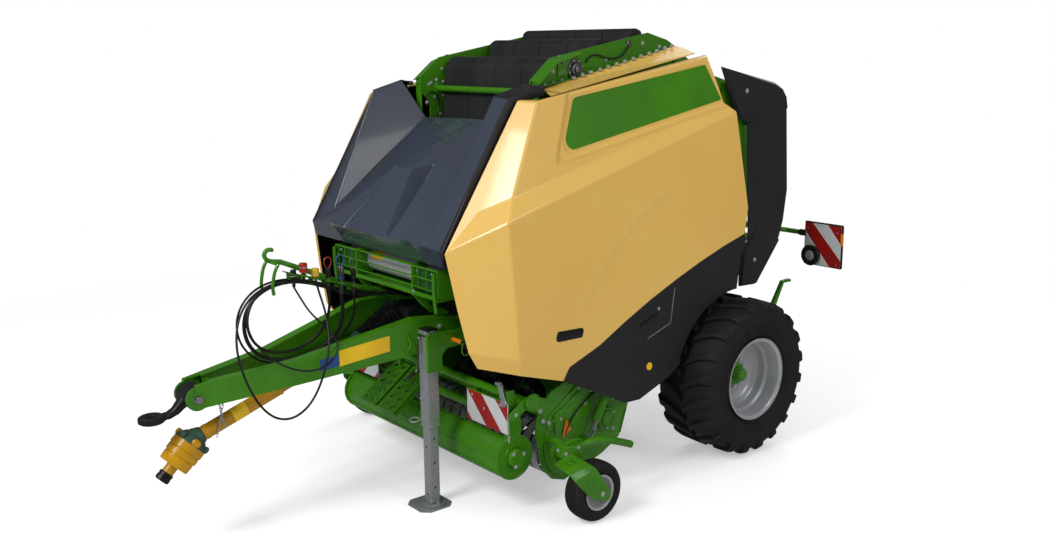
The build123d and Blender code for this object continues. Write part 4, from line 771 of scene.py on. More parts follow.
def tyre_lug():
    """One tread bar of the left half, from the middle of the tread over the shoulder."""
    # x from the middle, top radius, bottom radius, offset round the tyre, half width
    stations = (
        (0.006, 0.5735, 0.545, 0.000, 0.019), (0.050, 0.5735, 0.545, 0.034, 0.021),
        (0.100, 0.573, 0.543, 0.064, 0.023), (0.150, 0.572, 0.540, 0.086, 0.026),
        (0.190, 0.570, 0.533, 0.098, 0.029), (0.222, 0.561, 0.522, 0.104, 0.032),
        (0.241, 0.545, 0.510, 0.106, 0.033), (0.2525, 0.512, 0.490, 0.107, 0.031),
        (0.2515, 0.478, 0.470, 0.107, 0.024),
    )
    verts, faces = [], []
    for x, high, low, along, half in stations:
        inner_x = min(x, 0.236) if high < 0.55 else x
        for px, radius, offset in ((inner_x, low, half + 0.007), (x, high, half),
                                   (x, high, -half), (inner_x, low, -half - 0.007)):
            angle = (along + offset) / 0.56
            verts.append((TYRE_MID + px, AXLE[0] + radius * math.sin(angle),
                          AXLE[1] + radius * math.cos(angle)))
    for i in range(len(stations) - 1):
        a, b = 4 * i, 4 * i + 4
        faces += [(a + k, a + (k + 1) % 4, b + (k + 1) % 4, b + k) for k in range(4)]
    faces += [(3, 2, 1, 0), tuple(range(len(verts) - 4, len(verts)))]
    return soften(from_faces(verts, faces), 0.004, 2, 50)


LUGS = 20
# x over the tyre's middle and radius of the carcass under the tread, and its ribbed walls
CARCASS = [
    (0.20, 0.545), (0.228, 0.528), (0.243, 0.500), (0.250, 0.470), (0.2505, 0.440),
    (0.2535, 0.436), (0.2535, 0.428), (0.250, 0.424), (0.248, 0.392), (0.2515, 0.389),
    (0.2515, 0.381), (0.245, 0.377), (0.238, 0.350), (0.2415, 0.347), (0.241, 0.338),
    (0.232, 0.333), (0.224, 0.316), (0.216, 0.306), (0.204, 0.288), (0.128, 0.284),
]
pitch = 2 * math.pi / LUGS
centre = (TYRE_MID, *AXLE)
lug = tyre_lug()
lugs = copies(lug, [turn_about(centre, "X", i * pitch) for i in range(LUGS)])
half_tread = join(lugs)
other = copies(half_tread, (Matrix.Identity(4),
                            turn_about(centre, "X", pitch / 2) @ shift(TYRE_MID * 2) @ MIRROR))
carcass = turned(CARCASS + [(-x, r) for x, r in reversed(CARCASS)], centre, (1, 0, 0), 96)
left_tyre = paint(join(other + [carcass]), "tyre rubber")
each_side(left_tyre, "tyre_{}", "wheel_{}", "tyre_black", "main_tyre_{}", angle=40)

# outer lip, bead seat, well, then the dished disc with its steps and back to the rear lip
RIM = (
    (0.237, 0.3035), (0.231, 0.3035), (0.226, 0.300), (0.222, 0.288), (0.216, 0.283),
    (0.125, 0.281), (0.108, 0.252), (-0.108, 0.252), (-0.125, 0.281), (-0.216, 0.283),
    (-0.222, 0.288), (-0.226, 0.300), (-0.231, 0.3035), (-0.237, 0.3035), (-0.2395, 0.300),
    (-0.232, 0.280), (-0.222, 0.276), (-0.132, 0.272), (-0.116, 0.243), (0.040, 0.243),
    (0.030, 0.236), (0.000, 0.222), (-0.004, 0.170), (0.000, 0.160), (0.004, 0.156), (0.004, 0.080),
    (0.020, 0.080), (0.020, 0.158), (0.016, 0.166), (0.014, 0.172), (0.017, 0.206),
    (0.029, 0.222), (0.047, 0.232), (0.056, 0.243), (0.070, 0.2475), (0.112, 0.2475),
    (0.118, 0.252), (0.127, 0.268), (0.140, 0.2725), (0.204, 0.2735), (0.222, 0.277),
    (0.229, 0.284), (0.2325, 0.297), (0.2385, 0.2995),
)
left_rim = paint(turned(RIM, centre, (1, 0, 0), 96), "silver wheel lacquer")
nut_x = TYRE_MID + 0.020
nut = bolt((nut_x, AXLE[0] + 0.1125, AXLE[1]), (1, 0, 0), 0.015, 0.018)
HUB_NUTS = 10
nuts = copies(nut, [turn_about(centre, "X", (i + 0.5) * 2 * math.pi / HUB_NUTS)
                    for i in range(HUB_NUTS)])
valve = tube(((nut_x + 0.03, AXLE[0], AXLE[1] + 0.232), (nut_x + 0.07, AXLE[0], AXLE[1] + 0.222),
              (nut_x + 0.10, AXLE[0], AXLE[1] + 0.224)), 0.006)
each_side(join([left_rim, paint(valve, "smooth black polypropylene")]), "rim_{}", "wheel_{}",
          "rim_silver", "main_rim_{}")
each_side(join(nuts), "hub_nuts_{}", "wheel_{}", "rim_silver")

# hub: six sided flange in front of the disc, drum and the proud grease cap
HUB = (
    (-0.090, 0.036), (-0.090, 0.064), (-0.012, 0.078), (0.056, 0.078), (0.060, 0.072),
    (0.062, 0.054), (0.100, 0.050), (0.110, 0.046), (0.117, 0.038), (0.1178, 0.0), (0.054, 0.0),
    (0.054, 0.036),
)
drum = turned(HUB, centre, (1, 0, 0), 48)
flange = soften(sideways(AXLE[0], AXLE[1], 0.096, TYRE_MID + 0.0205, TYRE_MID + 0.034, 6), 0.004)
back = soften(sideways(AXLE[0], AXLE[1], 0.130, TYRE_MID - 0.012, TYRE_MID + 0.0035, 40), 0.003)
cap_ring = turned(((0.066, 0.050), (0.066, 0.058), (0.074, 0.058), (0.074, 0.050)), centre,
                  (1, 0, 0), 40)
left_hub = paint(join([drum, flange, back, cap_ring]), "green enamel")
each_side(left_hub, "hub_{}", "wheel_{}", "frame_green", "main_hub_{}")

# ------------------------------------------------------------- gauge wheels
GAUGE = (-0.193, 0.196)
GAUGE_MID = 1.323
# x from the middle and radius: five ribs with grooves, round shoulders, a stepped wall
GAUGE_TYRE = [
    (0.008, 0.1955), (0.008, 0.187), (0.014, 0.187), (0.014, 0.1952), (0.030, 0.1945),
    (0.030, 0.186), (0.036, 0.186), (0.036, 0.1938), (0.052, 0.191), (0.062, 0.185),
    (0.070, 0.174), (0.0735, 0.158), (0.0745, 0.150), (0.072, 0.147), (0.072, 0.142),
    (0.070, 0.132), (0.064, 0.1215), (0.061, 0.118), (0.058, 0.1085),
]
gauge_centre = (GAUGE_MID, *GAUGE)
small_tyre = paint(turned(GAUGE_TYRE + [(-x, r) for x, r in reversed(GAUGE_TYRE)], gauge_centre,
                          (1, 0, 0), 72), "tyre rubber")
each_side(small_tyre, "gauge_tyre_piece_{}", "gauge_wheel_{}", "tyre_black", "gauge_tyre_{}")
GAUGE_RIM = (
    (0.060, 0.1085), (0.064, 0.1165), (0.068, 0.1165), (0.069, 0.113), (0.064, 0.103),
    (0.058, 0.100), (0.034, 0.097), (0.024, 0.088), (0.018, 0.064), (0.012, 0.058), (0.012, 0.038),
    (0.046, 0.036), (0.0465, 0.0141), (-0.0465, 0.0141), (-0.046, 0.036), (-0.004, 0.038),
    (-0.004, 0.060), (0.004, 0.080), (0.000, 0.090), (-0.030, 0.097), (-0.058, 0.100),
    (-0.064, 0.103), (-0.069, 0.113), (-0.068, 0.1165), (-0.064, 0.1165), (-0.060, 0.1085),
    (-0.040, 0.105), (0.040, 0.105),
)
small_rim = paint(turned(GAUGE_RIM, gauge_centre, (1, 0, 0), 72), "silver wheel lacquer")
small_nuts = copies(bolt((GAUGE_MID + 0.013, GAUGE[0] + 0.050, GAUGE[1]), (1, 0, 0), 0.008, 0.008),
                    [turn_about(gauge_centre, "X", math.radians(72 * i)) for i in range(5)])
each_side(join([small_rim] + small_nuts), "gauge_rim_piece_{}", "gauge_wheel_{}", "rim_silver",
          "gauge_rim_{}")

# ---------------------------------------------------------------- sheet work
def facing(piece, outward):
    """Turn every face of an open sheet so that it looks the way outward."""
    total = sum((p.normal.dot(outward) * p.area for p in piece.data.polygons), 0.0)
    if total < 0:
        piece.data.flip_normals()
    return piece


def sheet(points, faces, outward, thickness, fold=0.010, segments=3, mirrored=False,
          outside="green enamel", inside=None):
    """A moulded sheet of flat facets with rounded folds, closed to its thickness inwards."""
    skins = []
    for side in ((1, -1) if mirrored else (1,)):
        for keys in faces:
            skins.append(facet([(side * points[k][0], *points[k][1:]) for k in keys]))
    piece = in_edit(join(skins), lambda: bpy.ops.mesh.remove_doubles(threshold=0.0005))
    facing(piece, Vector(outward))
    if fold:
        modify(piece, "BEVEL", width=fold, segments=segments, limit_method="ANGLE",
               angle_limit=math.radians(6), use_clamp_overlap=True)
    paint(piece, outside)
    piece.data.materials.append(FINISH[inside or outside])
    modify(piece, "SOLIDIFY", thickness=thickness, offset=-1.0, material_offset=1)
    return in_edit(piece)


# --------------------------------------------------------------- front hood
# left half, outer skin: flat lip, tongue in the middle, groove beside it, shoulder,
# trough with its deep corner and the rail along the side
HOOD = {
    "lip_mid": (0, -0.849, 1.626), "lip_turn": (0.500, -0.849, 1.626),
    "lip_end": (0.776, -0.930, 1.657),
    "edge_mid": (0, -1.003, 1.780), "tongue_foot": (0.235, -1.000, 1.782),
    "shoulder_foot": (0.285, -1.003, 1.779), "shoulder_out": (0.500, -0.985, 1.790),
    "edge_end": (0.776, -0.950, 1.760),
    "tongue_top": (0.105, -0.690, 2.185), "tongue_mid": (0, -0.715, 2.170),
    "shoulder_top": (0.190, -0.560, 2.215), "groove_top": (0.170, -0.610, 2.095),
    "groove_foot": (0.262, -0.992, 1.776),
    "panel_mid": (0, -0.09, 2.455), "panel_corner": (0.600, -0.09, 2.455),
    "apex": (0.610, -0.880, 1.850), "shoulder_mid": (0.560, -0.560, 2.120),
    "rail_in_front": (0.700, -0.470, 2.655), "rail_in_rear": (0.700, -0.225, 2.722),
    "rail_out_front": (0.776, -0.412, 2.642), "rail_out_rear": (0.776, -0.120, 2.708),
}
HOOD_FACES = (
    ("edge_mid", "lip_mid", "lip_turn", "shoulder_out", "shoulder_foot", "groove_foot",
     "tongue_foot"),
    ("shoulder_out", "lip_turn", "lip_end", "edge_end"),
    ("edge_mid", "tongue_foot", "tongue_top", "tongue_mid"),
    ("tongue_foot", "groove_foot", "groove_top", "tongue_top"),
    ("groove_foot", "shoulder_foot", "shoulder_top", "groove_top"),
    ("tongue_top", "groove_top", "shoulder_top"),
    ("tongue_mid", "tongue_top", "panel_mid"), ("tongue_top", "shoulder_top", "panel_mid"),
    ("shoulder_top", "shoulder_mid", "panel_corner", "panel_mid"),
    ("shoulder_foot", "shoulder_out", "shoulder_top"),
    ("shoulder_out", "apex", "shoulder_mid", "shoulder_top"),
    ("shoulder_out", "edge_end", "apex"),
    ("apex", "edge_end", "rail_out_front", "rail_in_front"),
    ("shoulder_mid", "apex", "rail_in_front", "rail_in_rear", "panel_corner"),
)
RAIL_TOP = (("rail_in_front", "rail_out_front", "rail_out_rear", "rail_in_rear"),)
OUT = (0, -0.6, 0.8)
hood_skin = sheet(HOOD, HOOD_FACES, OUT, 0.007, fold=0.009, mirrored=True,
                  outside="slate gel coat", inside="smooth black polypropylene")
done(hood_skin, "hood_skin", "hood", "hood_slate", "front_hood", 38, flat_faces=True)
# black caps on the rails, black strips along the sides, with their seams
rail_caps = []
for side in (1, -1):
    cap = solid([(side * HOOD[k][0], HOOD[k][1], HOOD[k][2] + 0.0006) for k in RAIL_TOP[0]],
                (0, -0.001, 0.006))
    rail_caps.append(soften(cap, 0.002))
    strip = [
        (HOOD["edge_end"][1] - 0.004, HOOD["edge_end"][2]), (HOOD["rail_out_front"][1], 2.650),
        (HOOD["rail_out_rear"][1], 2.714), (-0.125, 2.660), (-0.362, 2.600), (-0.900, 1.735),
        (-0.928, 1.655),
    ]
    rail_caps.append(soften(across(strip, side * 0.7765, side * 0.0115), 0.0015))
done([paint(p, "grained black polypropylene") for p in rail_caps], "hood_edges", "hood",
     "cover_black")
hinges = [bar((side * 0.710, -0.130, 2.700), (side * 0.780, -0.130, 2.700), 0.016)
          for side in (1, -1)]
done([paint(soften(h, 0.001), "bare drawn steel") for h in hinges], "hood_hinge_pins", "hood",
     "shaft_steel")

# -------------------------------------------------------------- side covers
COVER = {
    "nose": (0.826, -0.915, 1.765), "hood_top": (0.812, -0.362, 2.637),
    "ridge_top": (0.960, -0.335, 2.631), "ridge_foot": (1.040, -0.597, 2.071),
    "band_start": (0.880, -0.731, 1.979), "corner_top": (1.100, -0.674, 1.941),
    "rear_top": (0.960, 1.212, 2.882), "rear_upper": (1.040, 1.320, 2.560),
    "rear_lower": (1.100, 1.380, 2.500), "rear_low": (1.100, 1.544, 1.805),
    "line_end": (1.100, 1.515, 1.617), "line_d": (1.100, 1.280, 1.552),
    "line_c": (1.100, 1.034, 1.472), "line_bc": (1.100, 0.790, 1.382),
    "line_b": (1.100, 0.536, 1.278), "line_ab": (1.100, 0.300, 1.168),
    "line_a": (1.100, 0.073, 1.051), "line_start": (1.100, -0.195, 0.955),
    "corner_foot": (1.100, -0.600, 1.079), "edge_low": (0.880, -0.824, 1.119),
    "hem_low": (0.870, -0.753, 1.007), "hem_corner": (1.080, -0.585, 0.975),
    "hem_end": (1.085, -0.232, 0.867), "edge_mid": (0.852, -0.878, 1.380),
    "roof_front": (0.905, -0.266, 2.637), "roof_rear": (0.905, 1.262, 2.895),
}
COVER_FACES = (
    ("corner_top", "ridge_foot", "band_start", "nose"),
    ("hood_top", "nose", "band_start", "ridge_foot", "ridge_top"),
    ("ridge_top", "ridge_foot", "rear_upper", "rear_top"),
    ("ridge_foot", "corner_top", "rear_lower", "rear_upper"),
    ("nose", "edge_mid", "edge_low", "corner_foot", "corner_top"),
    ("corner_top", "corner_foot", "line_start", "line_a", "line_ab", "line_b", "line_bc",
     "line_c", "line_d", "line_end", "rear_low", "rear_lower"),
    ("edge_low", "hem_low", "hem_corner", "corner_foot"),
    ("corner_foot", "hem_corner", "hem_end", "line_start"),
    ("hood_top", "ridge_top", "roof_front"),
    ("roof_front", "ridge_top", "rear_top", "roof_rear"),
)


def upper_x(y, z):
    """X of the cover's upper face at a point."""
    a, b, c = (Vector(COVER[k]) for k in ("ridge_top", "ridge_foot", "rear_upper"))
    normal = (b - a).cross(c - a)
    return a.x - (normal.y * (y - a.y) + normal.z * (z - a.z)) / normal.x


def round_corners(outline, radii, steps=6):
    """Replace each corner of an outline in (y, z) by an arc."""
    out = []
    count = len(outline)
    for i, (corner, radius) in enumerate(zip(outline, radii)):
        p = Vector(corner)
        before = (Vector(outline[i - 1]) - p).normalized()
        after = (Vector(outline[(i + 1) % count]) - p).normalized()
        half = before.angle(after) / 2
        reach = radius / math.tan(half)
        hub = p + (before + after).normalized() * (radius / math.sin(half))
        a, b = p + before * reach - hub, p + after * reach - hub
        turn = a.angle_signed(b)
        for k in range(steps + 1):
            angle = -turn * k / steps
            out.append((hub.x + a.x * math.cos(angle) - a.y * math.sin(angle),
                        hub.y + a.x * math.sin(angle) + a.y * math.cos(angle)))
    return out


BAND = ((-0.038, 2.644), (1.170, 2.826), (1.300, 2.585), (-0.170, 2.309))
BAND_R = (0.045, 0.010, 0.010, 0.060)
RECESS_DEPTH = 0.009


def recess_tool():
    """Wedge sided cutter for the recess that the colour band lies in."""
    wide = round_corners(((-0.070, 2.670), (1.300, 2.872), (1.430, 2.570), (-0.217, 2.257)),
                         (0.060, 0.010, 0.010, 0.085))
    narrow = round_corners(((-0.048, 2.655), (1.300, 2.853), (1.430, 2.594), (-0.193, 2.282)),
                           (0.050, 0.010, 0.010, 0.072))
    return stacked([[(upper_x(y, z) + 0.010, y, z) for y, z in wide],
                    [(upper_x(y, z) + 0.0002, y, z) for y, z in wide],
                    [(upper_x(y, z) - RECESS_DEPTH, y, z) for y, z in narrow]])


shell = sheet(COVER, COVER_FACES, (0.8, -0.4, 0.4), 0.013, fold=0.012, segments=6,
              outside="cream gel coat", inside="smooth black polypropylene")
cut(shell, recess_tool())

ARC_HUB, ARC_R = (1.313, 0.555), 1.578      # pressed arc on the flat side, in (y, z)
ARC_WALL, ARC_RUN, ARC_DEPTH = 0.034, 0.210, 0.0085


def arc_tool():
    """Cutter for the pressed arc: a short wall, a long run out, both ends fading away."""
    verts, faces, rows = [], [], 40
    for i in range(rows + 1):
        t = i / rows
        angle = math.radians(106 + 52 * t)
        depth = ARC_DEPTH * min(1, 5 * t, 3.2 * (1 - t)) ** 0.7 if 0 < t < 1 else 0
        side = ((0, 0.010), (0, 0.0002), (ARC_WALL, 0.0002 - depth),
                (ARC_WALL + ARC_RUN, 0.0002), (ARC_WALL + ARC_RUN, 0.010))
        for inwards, out in side:
            radius = ARC_R - inwards
            verts.append((COVER["corner_top"][0] + out, ARC_HUB[0] + radius * math.cos(angle),
                          ARC_HUB[1] + radius * math.sin(angle)))
    count = len(side)
    for i in range(rows):
        for k in range(count):
            a, b = i * count + k, i * count + (k + 1) % count
            faces.append((a, b, b + count, a + count))
    faces += [tuple(range(count)), tuple(reversed(range(rows * count, (rows + 1) * count)))]
    return from_faces(verts, faces)


cut(shell, arc_tool())
each_side(shell, "cover_{}_skin", "cover_{}", "cover_yellow", "side_cover_{}", angle=10,
          flat_faces=True)

colour_band = round_corners(BAND, BAND_R, 8)
band = solid([(upper_x(y, z) - RECESS_DEPTH + 0.0002, y, z) for y, z in colour_band],
             (0.0014, 0, 0.0003))
each_side(paint(band, "green enamel"), "cover_{}_band", "cover_{}", "frame_green")

# small plate on the yellow face, left plain
plate = round_corners(((-0.290, 1.206), (-0.062, 1.196), (-0.085, 1.133), (-0.316, 1.139)),
                      (0.010, 0.024, 0.010, 0.024), 4)
small_plate = paint(soften(across(plate, 1.0995, 0.0022), 0.0006), "smooth black polypropylene")
each_side(small_plate, "cover_{}_plate", "cover_{}", "cover_black")

# lower cover with its latch pocket, its flanged upper edge and the wheel arch
LOWER = (
    (-0.232, 0.867), (-0.195, 0.951), (0.073, 1.047), (0.300, 1.164), (0.536, 1.274),
    (0.790, 1.378), (1.034, 1.468), (1.280, 1.548), (1.515, 1.613), (1.541, 1.577),
    (1.486, 1.454),
)
ARCH_R = 0.640
arch = []
for i in range(15):
    angle = math.radians(90 + i * 72.5 / 14)
    arch.append((AXLE[0] + ARCH_R * math.cos(angle), AXLE[1] + ARCH_R * math.sin(angle)))
outline = LOWER + tuple(arch[:-1]) + (
    (0.850, 0.760), (0.729, 0.687), (0.453, 0.592), (0.318, 0.598))
lower = soften(across(outline, 1.0985, -0.014), 0.004, 3)
POCKET = ((0.321, 1.137), (0.782, 1.327), (0.745, 1.082), (0.517, 1.010))
FLOOR = ((0.350, 1.137), (0.722, 1.288), (0.700, 1.112), (0.500, 1.046))


def wedge(mouth, floor, x_mouth, x_floor):
    """Cutter between a mouth and a smaller floor, both in (y, z)."""
    return stacked([[(x, *p) for p in loop] for x, loop in (
        (x_mouth + 0.01, mouth), (x_mouth, mouth), (x_floor, floor))])


corner_r = (0.018, 0.010, 0.020, 0.014)
cut(lower, wedge(round_corners(POCKET, corner_r, 4), round_corners(FLOOR, corner_r, 4), 1.0986,
                 1.0886))
handle = soften(box(1.0882, 1.0950, 0.455, 0.625, -0.011, 0.011), 0.003)
handle.data.transform(shift(0, 0.0, 1.1375) @ shift(0, 0.541) @ Matrix.Rotation(
    math.radians(20), 4, "X") @ shift(0, -0.541))
latch = bolt((1.0888, 0.635, 1.200), (1, 0, 0), 0.008, 0.007)
# pale grey lines along three edges of the latch pocket: painted highlights where the light catches
# its rim
highlit_pocket_edges = POCKET[1:]
painted_highlight_lines = [paint(bar((1.0985, *a), (1.0985, *b), 0.0030, 10), "pale grey plastic and painted edge highlight")
            for a, b in zip(highlit_pocket_edges, highlit_pocket_edges[1:])]
reflector = paint(turned(((0.0, 0.0), (0.0, 0.027), (0.004, 0.027), (0.006, 0.024), (0.0065, 0.0)),
                         (1.0975, 0.540, 0.811), (1, 0, 0), 32), "yellow sheeting")
each_side(join([paint(lower, "grained black polypropylene"),
                paint(handle, "smooth black polypropylene"), *painted_highlight_lines]),
          "lower_cover_{}_skin", "cover_{}", "cover_black", "lower_cover_{}", flat_faces=True)
each_side(join([latch, reflector]), "lower_cover_{}_fittings", "cover_{}", "zinc")

# ---------------------------------------------------------- tailgate covers
TAIL_BODY = (
    (1.330, 2.812), (1.940, 2.684), (2.030, 2.640), (2.078, 2.575), (2.095, 2.490), (2.140, 1.873),
    (2.105, 1.640), (2.060, 1.510), (1.782, 1.181), (1.604, 1.190), (1.600, 1.230),
    (1.618, 1.450), (1.690, 1.560), (1.640, 2.420), (1.560, 2.430), (1.507, 2.464),
)
TAIL_TOP = (
    (1.330, 2.812), (1.940, 2.684), (2.030, 2.640), (2.078, 2.575), (2.095, 2.490),
    (1.780, 2.360), (1.560, 2.430), (1.507, 2.464),
)
TAIL_FOOT = ((1.878, 1.700), (2.050, 1.500), (1.782, 1.181), (1.604, 1.190), (1.600, 1.230),
             (1.618, 1.450))


def raised(outline, inset, x0, x1, fading):
    """A block whose top is inset from its foot, with the corners listed in fading left low."""
    middle = sum((Vector(p) for p in outline), Vector((0, 0))) / len(outline)
    top = [p if i in fading else tuple(Vector(p) + (middle - Vector(p)).normalized() * inset)
           for i, p in enumerate(outline)]
    count = len(outline)
    verts = [(x0, *p) for p in outline]
    verts += [(x0 + 0.0006 if i in fading else x1, *p) for i, p in enumerate(top)]
    hub = len(verts)
    verts.append((x1, *middle))
    faces = [tuple(reversed(range(count)))]
    faces += [(i, (i + 1) % count, count + (i + 1) % count, count + i) for i in range(count)]
    faces += [(count + i, count + (i + 1) % count, hub) for i in range(count)]
    return from_faces(verts, faces)


tail = [
    soften(across(TAIL_BODY, 0.984, 0.012), 0.005, 3),
    soften(raised(TAIL_TOP, 0.022, 0.990, 1.0178, (5,)), 0.004, 2, 20),
    soften(raised(TAIL_FOOT, 0.016, 0.990, 1.0175, (0,)), 0.004, 2, 20),
]
tail = paint(join(tail), "grained black polypropylene")
fasteners = [bolt((1.0172, 1.590, 2.636), (1, 0, 0), 0.011, 0.008),
             bolt((1.0168, 1.745, 1.380), (1, 0, 0), 0.011, 0.008),
             bolt((0.9955, 1.660, 1.530), (1, 0, 0), 0.008, 0.006)]
done(both(tail), "tail_covers_skin", "tailgate", "cover_black", "tailgate_covers",
     flat_faces=True)
done(both(join(fasteners)), "tail_cover_bolts", "tailgate", "zinc")


def loft(sections, sides=20):
    """A rounded body through sections given as centre, across vector, rise vector."""
    verts = []
    for centre_at, wide, high in sections:
        for i in range(sides):
            angle = 2 * math.pi * i / sides
            c, s = math.cos(angle), math.sin(angle)
            # a little squarer than an ellipse
            c, s = math.copysign(abs(c) ** 0.75, c), math.copysign(abs(s) ** 0.75, s)
            verts.append(tuple(Vector(centre_at) + Vector(wide) * c + Vector(high) * s))
    faces = [tuple(reversed(range(sides)))]
    for level in range(len(sections) - 1):
        a, b = level * sides, (level + 1) * sides
        faces += [(a + i, a + (i + 1) % sides, b + (i + 1) % sides, b + i) for i in range(sides)]
    faces.append(tuple(range(len(verts) - sides, len(verts))))
    return from_faces(verts, faces)


def chain(start, end, links, sag=0.0, wire=0.0022, size=0.008):
    """A hanging chain of long links, each a quarter turn from the last."""
    a, b = Vector(start), Vector(end)
    spots = []
    for i in range(links + 1):
        t = i / links
        spots.append(a.lerp(b, t) - UP * sag * 4 * t * (1 - t))
    parts = []
    for i in range(links):
        run = spots[i + 1] - spots[i]
        clear()
        bpy.ops.mesh.primitive_torus_add(major_segments=16, minor_segments=6, major_radius=size,
                                         minor_radius=wire)
        link = bpy.context.object
        link.data.transform(Matrix.Diagonal((max(run.length, size) * 0.68 / size, 0.72, 1, 1)))
        quat = run.to_track_quat("X", "Z")
        spin = Matrix.Rotation(math.pi / 2 * (i % 2), 4, "X")
        link.data.transform(Matrix.Translation((spots[i] + spots[i + 1]) / 2)
                            @ quat.to_matrix().to_4x4() @ spin)
        parts.append(paint(link, "zinc plated bolt"))
    return parts


# ------------------------------------------------------------- drive shaft
TUBE_A, TUBE_B = Vector((0, -2.190, 0.684)), Vector((0, -1.075, 1.068))
TUBE_DIR = (TUBE_B - TUBE_A).normalized()
BELL_DIR = Vector((0, -0.72, -0.694)).normalized()
BELL = TUBE_A - TUBE_DIR * 0.046
outer = turned(((0.0, 0.0), (0.0, 0.045), (0.030, 0.045), (0.032, 0.0472), (0.050, 0.0472),
                (0.052, 0.045), (0.552, 0.0445), (0.554, 0.0475), (0.560, 0.0475), (0.560, 0.0)),
               TUBE_A, TUBE_DIR, 40)
inner = turned(((0.555, 0.0), (0.555, 0.038), (1.170, 0.038), (1.178, 0.035), (1.178, 0.0)),
               TUBE_A, TUBE_DIR, 40)
band_ring = turned(((0.215, 0.0), (0.215, 0.0458), (0.315, 0.0458), (0.315, 0.0)), TUBE_A,
                   TUBE_DIR, 40)
neck = turned(((-0.050, 0.0), (-0.050, 0.062), (-0.030, 0.064), (-0.006, 0.056), (0.012, 0.050),
               (0.012, 0.0)), TUBE_A, TUBE_DIR, 40)
# three steps, narrower towards the open mouth, hollow inside
steps_down = (
    (0.040, 0.060), (0.030, 0.084), (0.034, 0.106), (0.078, 0.107), (0.083, 0.100),
    (0.086, 0.100), (0.090, 0.103), (0.124, 0.102), (0.129, 0.094), (0.132, 0.094), (0.136, 0.097),
    (0.182, 0.095), (0.190, 0.091), (0.190, 0.086), (0.110, 0.086), (0.100, 0.066), (0.080, 0.060),
)
bell = turned(steps_down, BELL, BELL_DIR, 56)
collar = turned(((-0.030, 0.0), (-0.034, 0.052), (-0.022, 0.070), (0.004, 0.092), (0.030, 0.1055),
                 (0.036, 0.1055), (0.036, 0.0)), BELL, BELL_DIR, 56)
tabs, lobes = [], []
bell_side = Vector((1, 0, 0))
for i in range(6):
    turn = Matrix.Rotation(math.radians(60 * i + 12), 4, BELL_DIR)
    out = turn @ bell_side
    along = BELL_DIR
    spot = BELL + out * 0.102 + along * 0.012
    lobe = loft([(spot + out * -0.020, along * 0.018, out.cross(along) * 0.024),
                 (spot + out * 0.004, along * 0.022, out.cross(along) * 0.028),
                 (spot + out * 0.012, along * 0.014, out.cross(along) * 0.020)], 16)
    (lobes if i % 2 else tabs).append(lobe)
guard_pieces = [paint(p, "amber guard plastic") for p in [outer, inner, bell, *tabs]]
guard_pieces += [paint(p, "collar plastic") for p in [neck, collar, *lobes]]
guard_pieces.append(paint(band_ring, "yellow sheeting"))
done(guard_pieces, "shaft_guard", "chassis", "guard_amber", "pto_guard")
yoke = turned(((0.090, 0.0), (0.090, 0.050), (0.150, 0.050), (0.165, 0.036), (0.185, 0.036),
               (0.185, 0.0)), BELL, BELL_DIR, 40)
sleeve = turned(((0.183, 0.018), (0.183, 0.037), (0.240, 0.037), (0.244, 0.034), (0.244, 0.018)),
                BELL, BELL_DIR, 40)
end_ring = turned(((0.240, 0.0176), (0.240, 0.040), (0.246, 0.045), (0.258, 0.045),
                   (0.261, 0.042), (0.266, 0.042), (0.269, 0.045), (0.290, 0.045),
                   (0.298, 0.038), (0.299, 0.0176)), BELL, BELL_DIR, 48)
bore_wall = turned(((0.236, 0.0), (0.236, 0.0178), (0.240, 0.0178), (0.240, 0.0)), BELL,
                   BELL_DIR, 24)
done([paint(yoke, "bare drawn steel"), paint(sleeve, "amber guard plastic"),
      paint(end_ring, "smooth black polypropylene"), paint(bore_wall, "bare drawn steel")],
     "shaft_yoke", "drive_yoke", "shaft_steel", "pto_yoke")

# ribbed boot with its cone in front
BOOT_A, BOOT_B = TUBE_B + TUBE_DIR * 0.012, Vector((0, -0.801, 1.195))
BOOT_DIR = (BOOT_B - BOOT_A).normalized()
boot_len = (BOOT_B - BOOT_A).length
RIBS = 10
boot_line = [(0.0, 0.0), (0.0, 0.054)]
for i in range(RIBS):
    low = boot_len * i / RIBS
    wide = 0.070 + 0.028 * i / (RIBS - 1)
    boot_line += [(low + 0.003, wide - 0.014), (low + boot_len / RIBS * 0.35, wide - 0.001),
                  (low + boot_len / RIBS * 0.55, wide),
                  (low + boot_len / RIBS * 0.75, wide - 0.002),
                  (low + boot_len / RIBS - 0.002, wide - 0.014)]
boot_line += [(boot_len, 0.086), (boot_len, 0.0)]
boot = turned(boot_line, BOOT_A, BOOT_DIR, 48)
cone = turned(((-0.085, 0.0), (-0.085, 0.042), (-0.070, 0.048), (-0.020, 0.064), (-0.002, 0.067),
               (0.004, 0.062), (0.004, 0.0)), BOOT_A, BOOT_DIR, 40)
done([paint(boot, "smooth black polypropylene"), paint(cone, "collar plastic")], "shaft_boot",
     "chassis", "boot_black", "pto_boot", 50)

# chains between drawbar head and guard tube
tube_low = TUBE_A + TUBE_DIR * 0.130
chains = chain((0.070, -2.090, 0.888), tube_low + Vector((0.048, 0.010, -0.010)), 9, 0.004)
chains += chain((0.066, -2.060, 0.890), tube_low + Vector((0.049, -0.040, -0.060)), 10, 0.012)
done(chains, "guard_chains", "chassis", "zinc")

